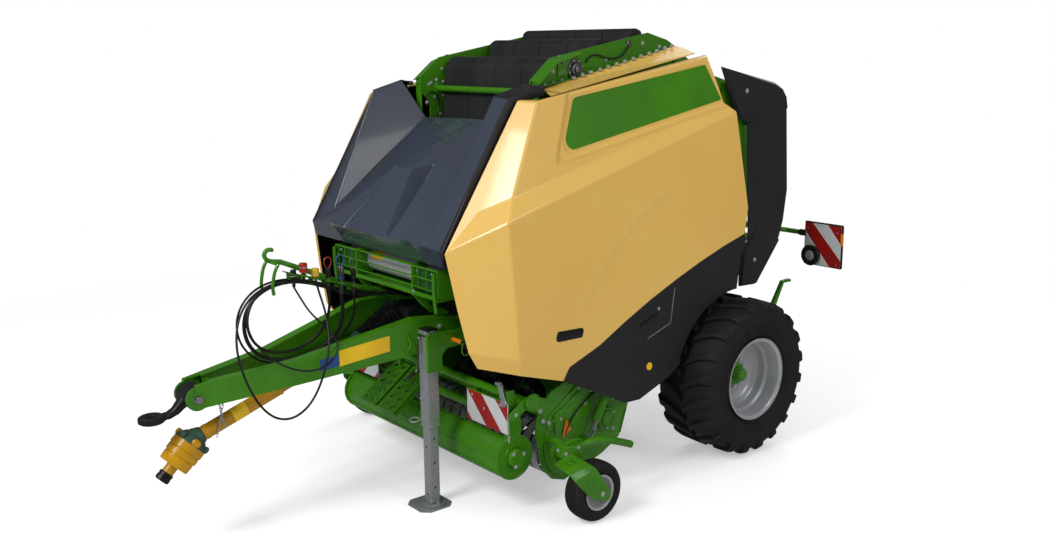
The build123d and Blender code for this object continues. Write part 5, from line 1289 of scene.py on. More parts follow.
# -------------------------------------------------------------- towing eye
eye_ring = turned(((-0.017, 0.029), (-0.021, 0.036), (-0.021, 0.066), (-0.014, 0.076),
                   (0.0, 0.078), (0.014, 0.076), (0.021, 0.066), (0.021, 0.036), (0.017, 0.029),
                   (0.010, 0.0255), (-0.010, 0.0255)), (0, -2.472, 0.850), UP, 56)
neck_line = ((-2.412, 0.850, 0.034, 0.020), (-2.372, 0.852, 0.031, 0.022),
             (-2.330, 0.870, 0.032, 0.026), (-2.296, 0.902, 0.037, 0.032),
             (-2.262, 0.932, 0.048, 0.042), (-2.228, 0.944, 0.064, 0.052))
arm_sections = []
for i, (y, z, wide, high) in enumerate(neck_line):
    ahead = neck_line[min(i + 1, len(neck_line) - 1)]
    behind = neck_line[max(i - 1, 0)]
    run = Vector((0, ahead[0] - behind[0], ahead[1] - behind[1])).normalized()
    arm_sections.append(((0, y, z), (wide, 0, 0), Vector((0, -run.z, run.y)) * high))
eye_arm = loft(arm_sections, 24)
eye_head = turned(((-0.075, 0.020), (-0.075, 0.062), (-0.070, 0.068), (-0.060, 0.071),
                   (0.060, 0.071), (0.070, 0.068), (0.075, 0.062), (0.075, 0.020)),
                  (0, -2.223, 0.941), (1, 0, 0), 48)
done([paint(p, "forged black steel") for p in (eye_ring, eye_arm, eye_head)], "towing_eye_forging",
     "chassis", "cast_black", "towing_eye")
pins = []
for side in (1, -1):
    end = turned(((0.096, 0.0), (0.096, 0.030), (0.099, 0.030), (0.1, 0.024), (0.118, 0.024),
                  (0.1215, 0.021), (0.1215, 0.0)), (0, -2.223, 0.941), (side, 0, 0), 32)
    pins.append(paint(end, "hard chrome"))
    pins.append(bolt((side * 0.0965, -2.180, 0.990), (side, 0, 0), 0.008, 0.006))
done(pins, "head_pins", "chassis", "rod_chrome")

# ---------------------------------------------------------- drawbar details
ARM_START = Vector((0.100, -2.240, 0))
ARM_DIR = (Vector((0.440, -0.540, 0)) - ARM_START).normalized()
ARM_OUT = Vector((ARM_DIR.y, -ARM_DIR.x, 0))


def on_arm(along, z, off=0.0):
    """Point on the outer face of the left drawbar arm."""
    spot = ARM_START + ARM_DIR * along + ARM_OUT * off
    return (spot.x, spot.y, z)


def arm_plate(a, b, low, high, finish_name, slope=0.1):
    """Thin sheet on the arm's outer face, parallel to its lower edge."""
    corners = [(a, low), (b, low + (b - a) * slope), (b, high + (b - a) * slope), (a, high)]
    piece = solid([on_arm(s, z, 0.0002) for s, z in corners], ARM_OUT * 0.0009)
    return paint(piece, finish_name)


plates = [
    arm_plate(0.880, 1.215, 1.010, 1.112, "yellow sheeting", 0.15),
    arm_plate(0.755, 0.874, 0.998, 1.070, "blue sheeting", 0.15),
]
done(plates, "drawbar_plates", "chassis", "cover_yellow")


def bead(a, b, radius=0.0035):
    """A weld bead with its ripples between two points."""
    a, b = Vector(a), Vector(b)
    run = b - a
    count = max(4, int(run.length / 0.006))
    profile = [(0.0, 0.0)]
    for i in range(count):
        low = run.length * i / count
        profile += [(low + 0.0005, radius * 0.75), (low + run.length / count * 0.5, radius)]
    profile += [(run.length, radius * 0.6), (run.length, 0.0)]
    return turned(profile, a, run, 8)


arm_bits = []
# strap along the arm's root, its weld beads, and studs through the web
strap = solid([on_arm(s, z, 0.0005) for s, z in
               ((1.400, 1.040), (1.690, 1.060), (1.690, 1.200), (1.600, 1.215), (1.400, 1.190))],
              ARM_OUT * 0.006)
arm_bits.append(soften(strap, 0.002))
for a, b in (((1.400, 1.040), (1.690, 1.060)), ((1.400, 1.190), (1.600, 1.215)),
             ((1.400, 1.040), (1.400, 1.190))):
    arm_bits.append(bead(on_arm(*a, 0.004), on_arm(*b, 0.004)))
# stub on the underside for the prop, and a rib pressed in the web
arm_bits.append(tube([on_arm(1.325, 1.160, 0.002), on_arm(1.345, 1.125, 0.026),
                      on_arm(1.350, 1.080, 0.030), on_arm(1.330, 1.045, 0.006)], 0.006))
done([paint(p, "green enamel") for p in both(join(arm_bits))], "drawbar_fittings", "chassis",
     "frame_green")
studs = [bolt(on_arm(s, z, 0.0066), ARM_OUT, 0.011, 0.009)
         for s, z in ((1.450, 1.075), (1.450, 1.165), (1.560, 1.082), (1.560, 1.180))]
done(both(join(studs)), "drawbar_bolts", "chassis", "zinc")

# --------------------------------------------------------------------- jack
JX, JY = 0.457, -0.835


def hollow_post(x, y, half, wall, low, high, rounding):
    """Square tube with rounded corners."""
    outside = soften(box(x - half, x + half, y - half, y + half, low, high), rounding, 4)
    inside = soften(box(x - half + wall, x + half - wall, y - half + wall, y + half - wall,
                        low - 0.02, high - wall), max(rounding - wall, 0.001), 3)
    return cut(outside, inside)


jack_outer = hollow_post(JX, JY, 0.046, 0.004, 0.541, 1.192, 0.009)
collar_low = soften(box(JX - 0.0475, JX + 0.0475, JY - 0.0475, JY + 0.0475, 0.541, 0.556), 0.004)
jack_plate = turned(((0.0, 0.0265), (0.0, 0.060), (0.010, 0.060), (0.012, 0.057), (0.012, 0.0265)),
                    (JX + 0.046, JY, 1.130), (1, 0, 0), 40)
pin_loop = tube(((JX - 0.030, JY - 0.047, 0.585), (JX - 0.032, JY - 0.075, 0.580),
                 (JX - 0.050, JY - 0.105, 0.570), (JX - 0.095, JY - 0.105, 0.578),
                 (JX - 0.095, JY - 0.070, 0.590), (JX - 0.060, JY - 0.055, 0.590),
                 (JX - 0.047, JY - 0.050, 0.588)), 0.0045)
done([paint(p, "hot dip zinc") for p in (jack_outer, collar_low, jack_plate, pin_loop)],
     "jack_outer_tube", "jack", "zinc", "jack_tube")
cap = soften(box(JX - 0.0455, JX + 0.0455, JY - 0.0455, JY + 0.0455, 1.188, 1.2), 0.005, 3)
head_gear = soften(bar((JX - 0.042, JY, 1.158), (JX + 0.0465, JY, 1.158), 0.0465, 40), 0.004, 3)
cut(head_gear, box(JX - 0.041, JX + 0.041, JY - 0.041, JY + 0.041, 1.100, 1.187))
crank = tube(((JX - 0.010, JY - 0.044, 1.150), (JX - 0.010, JY - 0.064, 1.150),
              (JX - 0.012, JY - 0.072, 1.120), (JX - 0.014, JY - 0.074, 0.985),
              (JX - 0.014, JY - 0.076, 0.940), (JX - 0.014, JY - 0.092, 0.918),
              (JX - 0.014, JY - 0.116, 0.908)), 0.0065)
crank_grip = bar((JX - 0.014, JY - 0.098, 0.9155), (JX - 0.014, JY - 0.152, 0.893), 0.011, 20)
done([paint(cap, "smooth black polypropylene"), paint(head_gear, "smooth black polypropylene"),
      paint(crank, "bare drawn steel"),
      paint(soften(crank_grip, 0.002), "smooth black polypropylene")],
     "jack_head", "jack", "boot_black")
leg = hollow_post(JX, JY, 0.038, 0.005, 0.012, 0.830, 0.008)
holes = join([bar((JX - 0.06, JY, z), (JX + 0.06, JY, z), 0.008, 20) for z in (0.12, 0.29, 0.46)]
             + [bar((JX, JY - 0.06, z), (JX, JY + 0.06, z), 0.008, 20) for z in (0.07, 0.40)])
cut(leg, holes)
foot_outline = [(JX + x, -0.858 + y, 0.0) for x, y in (
    (-0.125, -0.075), (-0.075, -0.125), (0.075, -0.125), (0.125, -0.075), (0.125, 0.075),
    (0.075, 0.125), (-0.075, 0.125), (-0.125, 0.075))]
foot = soften(solid(foot_outline, (0, 0, 0.008)), 0.0025)
foot_dish = turned(((0.006, 0.0), (0.006, 0.098), (0.014, 0.104), (0.0145, 0.098), (0.010, 0.092),
                    (0.010, 0.0)), (JX, -0.858, 0.0), UP, 48)
gussets = [solid([(JX + s * 0.038, JY, 0.008), (JX + s * 0.085, JY, 0.008),
                  (JX + s * 0.038, JY, 0.055)],
                 (0, 0.006, 0)) for s in (1, -1)]
done([paint(p, "hot dip zinc") for p in (leg, foot, foot_dish, *gussets)], "jack_inner_leg",
     "jack_foot", "zinc", "jack_leg")

# spring pin with its D handle, beside the jack's carrier
carrier = [
    paint(bar((0.546, -0.700, 1.118), (0.640, -0.700, 1.118), 0.015, 28), "amber lens"),
    paint(bar((0.636, -0.700, 1.118), (0.664, -0.700, 1.118), 0.011, 24), "bare drawn steel"),
    paint(tube(((0.655, -0.700, 1.118), (0.675, -0.680, 1.118), (0.680, -0.665, 1.060),
                (0.680, -0.700, 1.035), (0.680, -0.735, 1.060), (0.675, -0.720, 1.118),
                (0.657, -0.700, 1.118)), 0.005), "green enamel"),
]
done(carrier, "carrier_pin", "chassis", "guard_amber")

# ---------------------------------------------------------- warning boards
STRIPES = (
    ((0.0, 0.207), (0.155, 0.207), (0.362, 0.0), (0.207, 0.0)),
    ((0.300, 0.207), (0.425, 0.207), (0.425, 0.082)),
    ((0.0, 0.055), (0.055, 0.0), (0.0, 0.0)),
)


def striped(x0, z0, y, away, stripes, finish_name):
    """Thin coloured fields on a board's face, in (across, up) from its inner low corner."""
    return [paint(solid([(x0 + u, y, z0 + v) for u, v in field], (0, away, 0)), finish_name)
            for field in stripes]


board = [paint(soften(box(0.552, 0.977, -0.606, -0.598, 0.565, 0.772), 0.0012), "white sheeting")]
board += striped(0.552, 0.565, -0.6059, -0.0008, STRIPES, "red sheeting")
board += striped(0.552, 0.565, -0.5981, 0.0008, STRIPES, "red sheeting")
frame_bits = [box(0.552, 0.977, -0.6068, -0.597, 0.7715, 0.7765)]
board_bolts = [bolt((0.552 + u, -0.6066, 0.565 + v), (0, -1, 0), 0.006, 0.004)
               for u, v in ((0.185, 0.115), (0.350, 0.180), (0.060, 0.180))]
done(both(join(board + [paint(p, "green enamel") for p in frame_bits])), "guard_boards", "guard",
     "board_red", "warning_boards")
done(both(join(board_bolts)), "board_bolts", "guard", "zinc")
# galvanised lever at the outer top of each board, and the chain at its edge
lever = [
    soften(solid([(0.874, -0.612, 0.884), (0.908, -0.612, 0.893), (0.972, -0.612, 0.778),
                  (0.930, -0.612, 0.762)], (0, 0.005, 0)), 0.0012),
    turned(((-0.010, 0.0), (-0.010, 0.024), (0.001, 0.027), (0.001, 0.0)), (0.950, -0.612, 0.770),
           (0, 1, 0), 28),
    soften(box(0.872, 0.910, -0.622, -0.592, 0.876, 0.894), 0.003),
    bar((0.950, -0.626, 0.770), (0.950, -0.596, 0.770), 0.010, 20),
    soften(box(0.905, 0.917, -0.611, -0.588, 0.790, 0.878), 0.002),
]
done(both(join([paint(p, "hot dip zinc") for p in lever])), "board_levers", "guard", "zinc")
done(both(join(chain((0.980, -0.606, 0.690), (0.987, -0.603, 0.520), 11, 0.0))), "board_chains",
     "guard", "zinc")

# -------------------------------------------------------------- wind guard
SHEET = ((-0.562, 0.524), (-0.590, 0.512), (-0.632, 0.462), (-0.654, 0.405), (-0.657, 0.352),
         (-0.648, 0.306), (-0.628, 0.276), (-0.603, 0.260), (-0.585, 0.262), (-0.585, 0.267),
         (-0.602, 0.266), (-0.624, 0.281), (-0.643, 0.309), (-0.651, 0.352), (-0.648, 0.403),
         (-0.627, 0.458), (-0.587, 0.507), (-0.562, 0.518))
guard = [soften(across(SHEET, -0.930, 1.860), 0.0015, 2, 40)]
# pressed ridges and the rolled lower edge
for y, z in ((-0.6545, 0.398), (-0.6490, 0.309), (-0.590, 0.513)):
    guard.append(sideways(y, z, 0.006, -0.928, 0.928, 12))
guard.append(sideways(-0.586, 0.264, 0.008, -0.928, 0.928, 14))
for side in (1, -1):
    x = side * 0.930
    rim = turned(((0.0, 0.0), (0.0, 0.146), (0.003, 0.149), (0.012, 0.149), (0.014, 0.146),
                  (0.0142, 0.140), (0.0112, 0.136), (0.0112, 0.070), (0.0112, 0.0)),
                 (x, -0.525, 0.385), (side, 0, 0), 64)
    boss = turned(((0.010, 0.0), (0.010, 0.064), (0.040, 0.062), (0.047, 0.060), (0.050, 0.056),
                   (0.0505, 0.0)), (x, -0.525, 0.385), (side, 0, 0), 48)
    ring = turned(((0.011, 0.066), (0.011, 0.083), (0.0155, 0.081), (0.0165, 0.068)),
                  (x, -0.525, 0.385), (side, 0, 0), 56)
    arm = soften(across(((-0.600, 0.500), (-0.480, 0.505), (-0.465, 0.560), (-0.470, 0.640),
                         (-0.520, 0.835), (-0.585, 0.835), (-0.596, 0.640)), x, side * 0.012),
                 0.003)
    link = soften(across(((-0.600, 0.648), (-0.602, 0.700), (-0.520, 0.752), (-0.452, 0.788),
                          (-0.405, 0.780), (-0.384, 0.740), (-0.405, 0.712), (-0.450, 0.712),
                          (-0.560, 0.656)), side * 0.982, side * 0.012), 0.003)
    pivot = turned(((0.0, 0.0145), (0.0, 0.044), (0.020, 0.056), (0.022, 0.057), (0.030, 0.057),
                    (0.033, 0.054), (0.0335, 0.046), (0.030, 0.044), (0.030, 0.0145)),
                   (side * 0.984, -0.424, 0.749), (side, 0, 0), 48)
    spacer = sideways(-0.550, 0.670, 0.022, side * 0.942, side * 0.984)
    guard += [rim, boss, ring, arm, link, pivot, spacer]
# the two tubes above the sheet, and the brackets of the boards
for y, z in ((-0.550, 0.800), (-0.500, 0.615)):
    guard.append(sideways(y, z, 0.027, -0.930, 0.930, 36))
for side in (1, -1):
    for x in (0.620, 0.880):
        guard.append(soften(box(side * x, side * (x + 0.010), -0.598, -0.500, 0.605, 0.625), 0.002))
        guard.append(soften(box(side * x, side * (x + 0.010), -0.598, -0.545, 0.740, 0.790), 0.002))
        guard.append(soften(box(side * (x - 0.02), side * (x + 0.03), -0.598, -0.592, 0.600, 0.760),
                            0.002))
done([paint(p, "green enamel") for p in guard], "wind_guard_piece", "guard", "frame_green",
     "wind_guard")
guard_bolts = []
for side in (1, -1):
    for y, z in ((-0.478, 0.409), (-0.545, 0.337), (-0.560, 0.425)):
        guard_bolts.append(bolt((side * 0.9795, y, z), (side, 0, 0), 0.009, 0.007))
    guard_bolts.append(bolt((side * 0.9935, -0.550, 0.690), (side, 0, 0), 0.009, 0.007))
    guard_bolts.append(paint(sideways(-0.424, 0.749, 0.022, side * 1.013, side * 1.016, 28),
                             "green enamel"))
done(guard_bolts, "guard_bolts", "guard", "zinc")

# comb of steel fingers hanging from the lower tube over the tines
fingers = []
finger = tube(((0, -0.500, 0.592), (0, -0.475, 0.520), (0, -0.420, 0.508), (0, -0.350, 0.512)),
              0.004, sides=1)
fingers = copies(finger, [shift(-0.900 + 0.049 * i) for i in range(37) if i not in (18,)])
done([paint(join(fingers), "bare drawn steel")], "guard_fingers", "guard", "shaft_steel", (), 60)

# ------------------------------------------------------------- step plates
STEP_LOW, STEP_HIGH = Vector((0, -0.850, 0.510)), Vector((0, -0.540, 0.735))
STEP_RUN = STEP_HIGH - STEP_LOW
STEP_UP = Vector((0, -STEP_RUN.z, STEP_RUN.y)).normalized()


def on_step(x, t, off=0.0):
    """A place on the step plate: across, up its slope by t, and off its face."""
    return Vector((x, 0, 0)) + STEP_LOW + STEP_RUN * t + STEP_UP * off


steps = []
for x0, x1 in ((-0.400, -0.205), (-0.180, 0.035)):
    corners = [on_step(x0, 0), on_step(x1, 0), on_step(x1, 1), on_step(x0, 1)]
    tread = solid([tuple(c) for c in corners], tuple(STEP_UP * -0.005))
    tools, rims = [], []
    for column in (0.27, 0.73):
        for row in range(5):
            x, t = x0 + (x1 - x0) * column, 0.10 + 0.2 * row
            spot = on_step(x, t)
            tools.append(bar(spot + STEP_UP * 0.02, spot - STEP_UP * 0.02, 0.018, 20))
            rims.append(turned(((0.0, 0.018), (0.0, 0.025), (0.004, 0.022), (0.005, 0.0185)), spot,
                               STEP_UP, 24))
    for row in range(4):
        x, t = (x0 + x1) / 2, 0.2 + 0.2 * row
        spot = on_step(x, t)
        tools.append(bar(spot + STEP_UP * 0.02, spot - STEP_UP * 0.02, 0.007, 16))
    cut(tread, join(tools))
    for t in (0.005, 0.985):
        rims.append(soften(join([bar(on_step(x0, t), on_step(x1, t), 0.005, 12)]), 0.0005))
    sides = []
    for edge in (x0, x1 - 0.005):
        profile = [on_step(edge, 0, 0.001), on_step(edge, 1, 0.001), on_step(edge, 0.985, -0.030),
                   on_step(edge, 0.015, -0.030)]
        sides.append(solid([tuple(c) for c in profile], (0.005, 0, 0)))
    lug = soften(box(x0 + 0.080, x0 + 0.100, -0.575, -0.535, 0.715, 0.790), 0.003)
    steps += [tread, *rims, *sides, lug]
done([paint(p, "green enamel") for p in steps], "steps_perforated", "guard", "frame_green",
     "step_plates")

# ----------------------------------------------------------------- pickup
REEL = (-0.150, 0.335)
tine = tube(((0, REEL[0] + 0.112, REEL[1] - 0.010), (0, REEL[0] + 0.150, REEL[1] - 0.012),
             (0, REEL[0] + 0.182, REEL[1] - 0.006), (0, REEL[0] + 0.2045, REEL[1] + 0.012)), 0.0028,
            sides=1)
coil = turned(((-0.012, 0.015), (-0.012, 0.019), (0.012, 0.019), (0.012, 0.015)),
              (0, REEL[0] + 0.130, REEL[1]), (1, 0, 0), 16)
pair = join([tine, coil])
spots = []
for arm in range(4):
    turn = turn_about((0, *REEL), "X", math.pi / 2 * arm + 0.4)
    for i in range(18):
        spots.append(shift((i - 8.5) * 0.098) @ turn)
done([paint(join(copies(pair, spots)), "bare drawn steel")], "tines", "reel", "shaft_steel", (), 60)

# pressed ridges, cap, plates and bolts on the pickup's ends
PICKUP_END_X = 0.962
ends, end_bolts, end_dark = [], [], []
for a, b, r in (((-0.300, 0.560), (0.020, 0.780), 0.009),
                ((-0.275, 0.525), (0.080, 0.765), 0.009),
                ((0.395, 0.330), (0.455, 0.500), 0.006)):
    ends.append(bar((PICKUP_END_X + 0.002, *a), (PICKUP_END_X + 0.002, *b), r, 16))
cap = turned(((0.025, 0.0), (0.025, 0.080), (0.034, 0.080), (0.040, 0.074), (0.041, 0.060),
              (0.052, 0.058), (0.058, 0.052), (0.0585, 0.044), (0.054, 0.042), (0.054, 0.0)),
             (PICKUP_END_X, 0.238, 0.483), (1, 0, 0), 56)
ends.append(cap)
ends.append(turned(((0.0, 0.0), (0.0, 0.100), (0.005, 0.098), (0.006, 0.0)),
                   (PICKUP_END_X, 0.238, 0.483), (1, 0, 0), 56))
# rolled edge of the front arc and the skirt below
edge = ((-0.364, 0.505), (-0.354, 0.579), (-0.335, 0.635), (-0.287, 0.714), (-0.221, 0.774),
        (-0.114, 0.804))
ends.append(tube([(PICKUP_END_X - 0.001, *p) for p in edge], 0.005))
skirt = ((-0.318, 0.402), (-0.290, 0.272), (-0.214, 0.172), (-0.115, 0.129), (0.066, 0.192),
         (0.190, 0.215), (0.274, 0.250), (0.390, 0.318))
ends.append(tube([(PICKUP_END_X - 0.001, *p) for p in skirt], 0.005))
ends.append(soften(across(((-0.300, 0.430), (-0.190, 0.345), (-0.110, 0.240), (-0.150, 0.175),
                           (-0.235, 0.215), (-0.290, 0.310)), PICKUP_END_X, 0.014), 0.006, 3))
# bracket of the guard's pivot and its hexagonal bosses
ends.append(soften(across(((-0.200, 0.660), (-0.300, 0.610), (-0.425, 0.706), (-0.452, 0.749),
                           (-0.424, 0.781), (-0.380, 0.772), (-0.250, 0.720)), PICKUP_END_X,
                          0.011),
                   0.003))
for y, z in ((-0.335, 0.660), (-0.310, 0.585), (-0.262, 0.560)):
    end_bolts.append(bolt((PICKUP_END_X + 0.011, y, z), (1, 0, 0), 0.011, 0.010))
for y, z in ((-0.262, 0.480), (-0.225, 0.420), (-0.185, 0.500), (-0.150, 0.560),
             (0.330, 0.600), (0.120, 0.700), (0.010, 0.740), (0.160, 0.420), (0.330, 0.380),
             (0.070, 0.620)):
    end_bolts.append(bolt((PICKUP_END_X + 0.001, y, z), (1, 0, 0), 0.009, 0.007))
for i in range(3):
    angle = math.radians(120 * i + 30)
    end_bolts.append(bolt((PICKUP_END_X + 0.041, 0.238 + 0.067 * math.cos(angle),
                           0.483 + 0.067 * math.sin(angle)), (1, 0, 0), 0.006, 0.005))
plate = solid([(PICKUP_END_X + 0.0075, -0.109, 0.557), (PICKUP_END_X + 0.0075, -0.060, 0.467),
               (PICKUP_END_X + 0.0075, -0.143, 0.430)], (0.002, 0, 0))
end_dark.append(paint(plate, "amber lens"))
strap = soften(across(((-0.215, 0.600), (-0.180, 0.630), (-0.080, 0.640), (-0.075, 0.618),
                       (-0.160, 0.600), (-0.165, 0.480), (-0.205, 0.470)), PICKUP_END_X, 0.010),
               0.003)
ends.append(strap)
cable = tube(((PICKUP_END_X + 0.006, -0.120, 0.440), (PICKUP_END_X + 0.012, -0.060, 0.560),
              (PICKUP_END_X + 0.014, 0.060, 0.640), (PICKUP_END_X + 0.012, 0.160, 0.700),
              (PICKUP_END_X + 0.006, 0.240, 0.712)), 0.005)
end_dark.append(paint(cable, "hose rubber"))
done(both(join([paint(p, "green enamel") for p in ends])), "pickup_end_pressings", "pickup",
     "frame_green")
done(both(join(end_bolts)), "pickup_end_bolts", "pickup", "zinc")
done(both(join(end_dark)), "pickup_end_plates", "pickup", "guard_amber")

# -------------------------------------------------------------- gauge arms
FORK = {
    "a": (1.410, -0.415, 0.330), "b": (1.410, -0.310, 0.211), "c": (1.410, -0.243, 0.166),
    "d": (1.410, -0.140, 0.135), "d2": (1.410, -0.122, 0.150), "e": (1.410, -0.117, 0.184),
    "f": (1.410, -0.176, 0.277), "g": (1.410, -0.248, 0.382),
    "h": (1.372, -0.288, 0.418), "i": (1.372, -0.442, 0.384),
    "j": (1.236, -0.312, 0.452), "k": (1.236, -0.440, 0.408),
}
FORK_FACES = (("a", "b", "c", "d", "d2", "e", "f", "g"), ("g", "h", "i", "a"), ("h", "j", "k", "i"))
fork = sheet(FORK, FORK_FACES, (1, 0, 0.5), 0.008, fold=0.014, segments=4)
arms = [soften(fork, 0.0015)]
# two ridges pressed across the bend
for a, b, c in (((1.4085, -0.262, 0.300), (1.405, -0.300, 0.392), (1.300, -0.345, 0.436)),
                ((1.4085, -0.306, 0.270), (1.405, -0.345, 0.382), (1.300, -0.385, 0.424))):
    arms.append(tube((a, b, c), 0.009, sides=4))
arms.append(turned(((0.0, 0.0), (0.0, 0.021), (0.010, 0.021), (0.012, 0.018), (0.012, 0.0)),
                   (1.402, -0.193, 0.196), (1, 0, 0), 32))
arms.append(bar((1.258, -0.193, 0.196), (1.404, -0.193, 0.196), 0.0139, 32))
# link from the end plate, bracket box with its ears, and the upright
arms.append(bar((0.962, -0.250, 0.450), (1.130, -0.250, 0.450), 0.024, 32))
arms.append(turned(((0.0, 0.0), (0.0, 0.044), (0.012, 0.042), (0.014, 0.0)), (0.962, -0.250, 0.450),
                   (1, 0, 0), 40))
arms.append(soften(box(1.128, 1.238, -0.335, -0.205, 0.398, 0.490), 0.006, 3))
arms.append(soften(across(((-0.372, 0.400), (-0.372, 0.470), (-0.330, 0.492), (-0.215, 0.492),
                           (-0.205, 0.400), (-0.240, 0.345), (-0.320, 0.345)), 1.226, 0.010),
                   0.003))
arms.append(soften(across(((-0.372, 0.400), (-0.372, 0.460), (-0.330, 0.480), (-0.215, 0.480),
                           (-0.205, 0.400), (-0.240, 0.355), (-0.320, 0.355)), 1.124, 0.008),
                   0.003))
# handle tube, closed by a round end
handle_line = ((1.190, -0.250, 0.452), (1.196, -0.174, 0.448), (1.200, -0.110, 0.462),
               (1.202, -0.037, 0.456), (1.204, 0.084, 0.423), (1.204, 0.207, 0.374),
               (1.204, 0.262, 0.350))
arms.append(tube(handle_line, 0.0245, sides=6))
arms.append(loft([((1.204, 0.258, 0.3515), (0.0245, 0, 0), (0, 0.0093, 0.0227)),
                  ((1.204, 0.266, 0.3482), (0.021, 0, 0), (0, 0.008, 0.0195)),
                  ((1.204, 0.2695, 0.3468), (0.012, 0, 0), (0, 0.0046, 0.011))], 24))
# D shaped loop above the bracket
arms.append(tube(((1.215, -0.320, 0.488), (1.222, -0.325, 0.512), (1.228, -0.300, 0.524),
                  (1.228, -0.235, 0.520), (1.226, -0.205, 0.512), (1.215, -0.205, 0.490)), 0.007))
done(both(join([paint(p, "green enamel") for p in arms])), "gauge_wheel_arms", "pickup",
     "frame_green", "gauge_arms")
arm_bolts = [bolt((1.4125, -0.193, 0.196), (1, 0, 0), 0.012, 0.0050),
             bolt((1.2365, -0.345, 0.448), (1, 0, 0), 0.010, 0.008),
             bolt((1.2365, -0.300, 0.372), (1, 0, 0), 0.010, 0.008),
             bolt((1.2365, -0.240, 0.465), (1, 0, 0), 0.008, 0.006),
             bolt((1.150, -0.336, 0.445), (0, -1, 0), 0.009, 0.007),
             bolt((1.210, -0.336, 0.445), (0, -1, 0), 0.009, 0.007)]
done(both(join(arm_bolts)), "gauge_arm_bolts", "pickup", "zinc")

# --------------------------------------------------------------- net store
nb = []
for x0, x1 in ((-0.630, -0.345), (0.345, 0.630)):
    # back plate of each end cell: the green enamel painted darker as the shade of its recess
    nb.append(paint(soften(box(x0, x1, -0.842, -0.837, 1.432, 1.596), 0.0015),
                    "green enamel in painted shade"))
    nb.append(soften(box(x0, x1, -0.868, -0.850, 1.590, 1.602), 0.003))
nb.append(soften(box(-0.345, 0.345, -0.866, -0.842, 1.592, 1.604), 0.004))
nb.append(soften(box(-0.630, 0.630, -0.872, -0.852, 1.412, 1.432), 0.004))
nb.append(soften(box(-0.630, 0.630, -0.872, -0.480, 1.408, 1.413), 0.001))
nb.append(soften(box(-0.630, 0.630, -0.490, -0.482, 1.413, 1.580), 0.001))
nb.append(sideways(-0.872, 1.532, 0.005, -0.630, 0.630, 16))
nb.append(sideways(-0.870, 1.466, 0.004, -0.630, 0.630, 16))
for x in (-0.345, 0.345):
    nb.append(soften(across(((-0.874, 1.400), (-0.874, 1.606), (-0.800, 1.612), (-0.740, 1.600),
                             (-0.740, 1.400)), x - 0.006, 0.012), 0.003))
    nb.append(soften(across(((-0.872, 1.408), (-0.800, 1.408), (-0.700, 1.270), (-0.730, 1.262),
                             (-0.800, 1.320)), x - 0.004, 0.008), 0.003))
for x in (-0.630, 0.622):
    nb.append(soften(across(((-0.872, 1.400), (-0.872, 1.596), (-0.800, 1.606), (-0.470, 1.606),
                             (-0.470, 1.400)), x, 0.008), 0.002))
for side in (1, -1):
    nb.append(tube(((side * 0.612, -0.884, 1.585), (side * 0.612, -0.886, 1.500),
                    (side * 0.610, -0.880, 1.380), (side * 0.606, -0.868, 1.330)), 0.013))
    for x in (0.400, 0.500, 0.590):
        nb.append(soften(box(side * x, side * (x + 0.006), -0.868, -0.857, 1.452, 1.590), 0.002))
done([p if p.data.materials and p.data.materials[0] else paint(p, "green enamel") for p in nb],
     "net_frame", "chassis", "frame_green", "net_box")
net_bolts = [bolt((x, -0.8735, 1.432), (0, -1, 0), 0.007, 0.006)
             for x in (-0.600, -0.365, 0.365, 0.600)]
net_bolts += [bolt((x, -0.8625, 1.570), (0, -1, 0), 0.006, 0.005) for x in (-0.560, 0.560, 0.400)]
done(net_bolts, "net_bolts", "chassis", "zinc")
ROLL = (-0.700, 1.520)
roll = turned(((-0.598, 0.030), (-0.598, 0.082), (-0.592, 0.085), (0.592, 0.085), (0.598, 0.082),
               (0.598, 0.030)), (0, *ROLL), (1, 0, 0), 64)
core = turned(((-0.600, 0.026), (-0.600, 0.031), (0.600, 0.031), (0.600, 0.026)), (0, *ROLL),
              (1, 0, 0), 40)
label_line = [math.radians(a) for a in range(120, 176, 8)]
label = []
for a, b in zip(label_line, label_line[1:]):
    low = (ROLL[0] + 0.0856 * math.cos(a), ROLL[1] + 0.0856 * math.sin(a))
    high = (ROLL[0] + 0.0856 * math.cos(b), ROLL[1] + 0.0856 * math.sin(b))
    label.append(facet([(-0.285, *low), (-0.150, *low), (-0.150, *high), (-0.285, *high)]))
label = in_edit(join(label), lambda: bpy.ops.mesh.remove_doubles(threshold=0.0001))
modify(label, "SOLIDIFY", thickness=0.0006, offset=0.0)
done([paint(roll, "wrapped netting"), paint(core, "worn cardboard"),
      paint(label, "yellow sheeting")], "net_roll_piece", "chassis", "net_white", "net_roll")

# --------------------------------------------------------------- hose holder
HOLDER = (
    (-0.430, 1.230), (-0.430, 1.265), (-0.722, 1.325), (-1.150, 1.475), (-1.475, 1.627),
    (-1.600, 1.682), (-1.640, 1.688), (-1.640, 1.656), (-1.600, 1.648), (-1.482, 1.592),
    (-1.156, 1.440), (-0.722, 1.290), (-0.540, 1.256), (-0.520, 1.230),
)
holder = [soften(across(HOLDER, -0.006, 0.012), 0.003)]
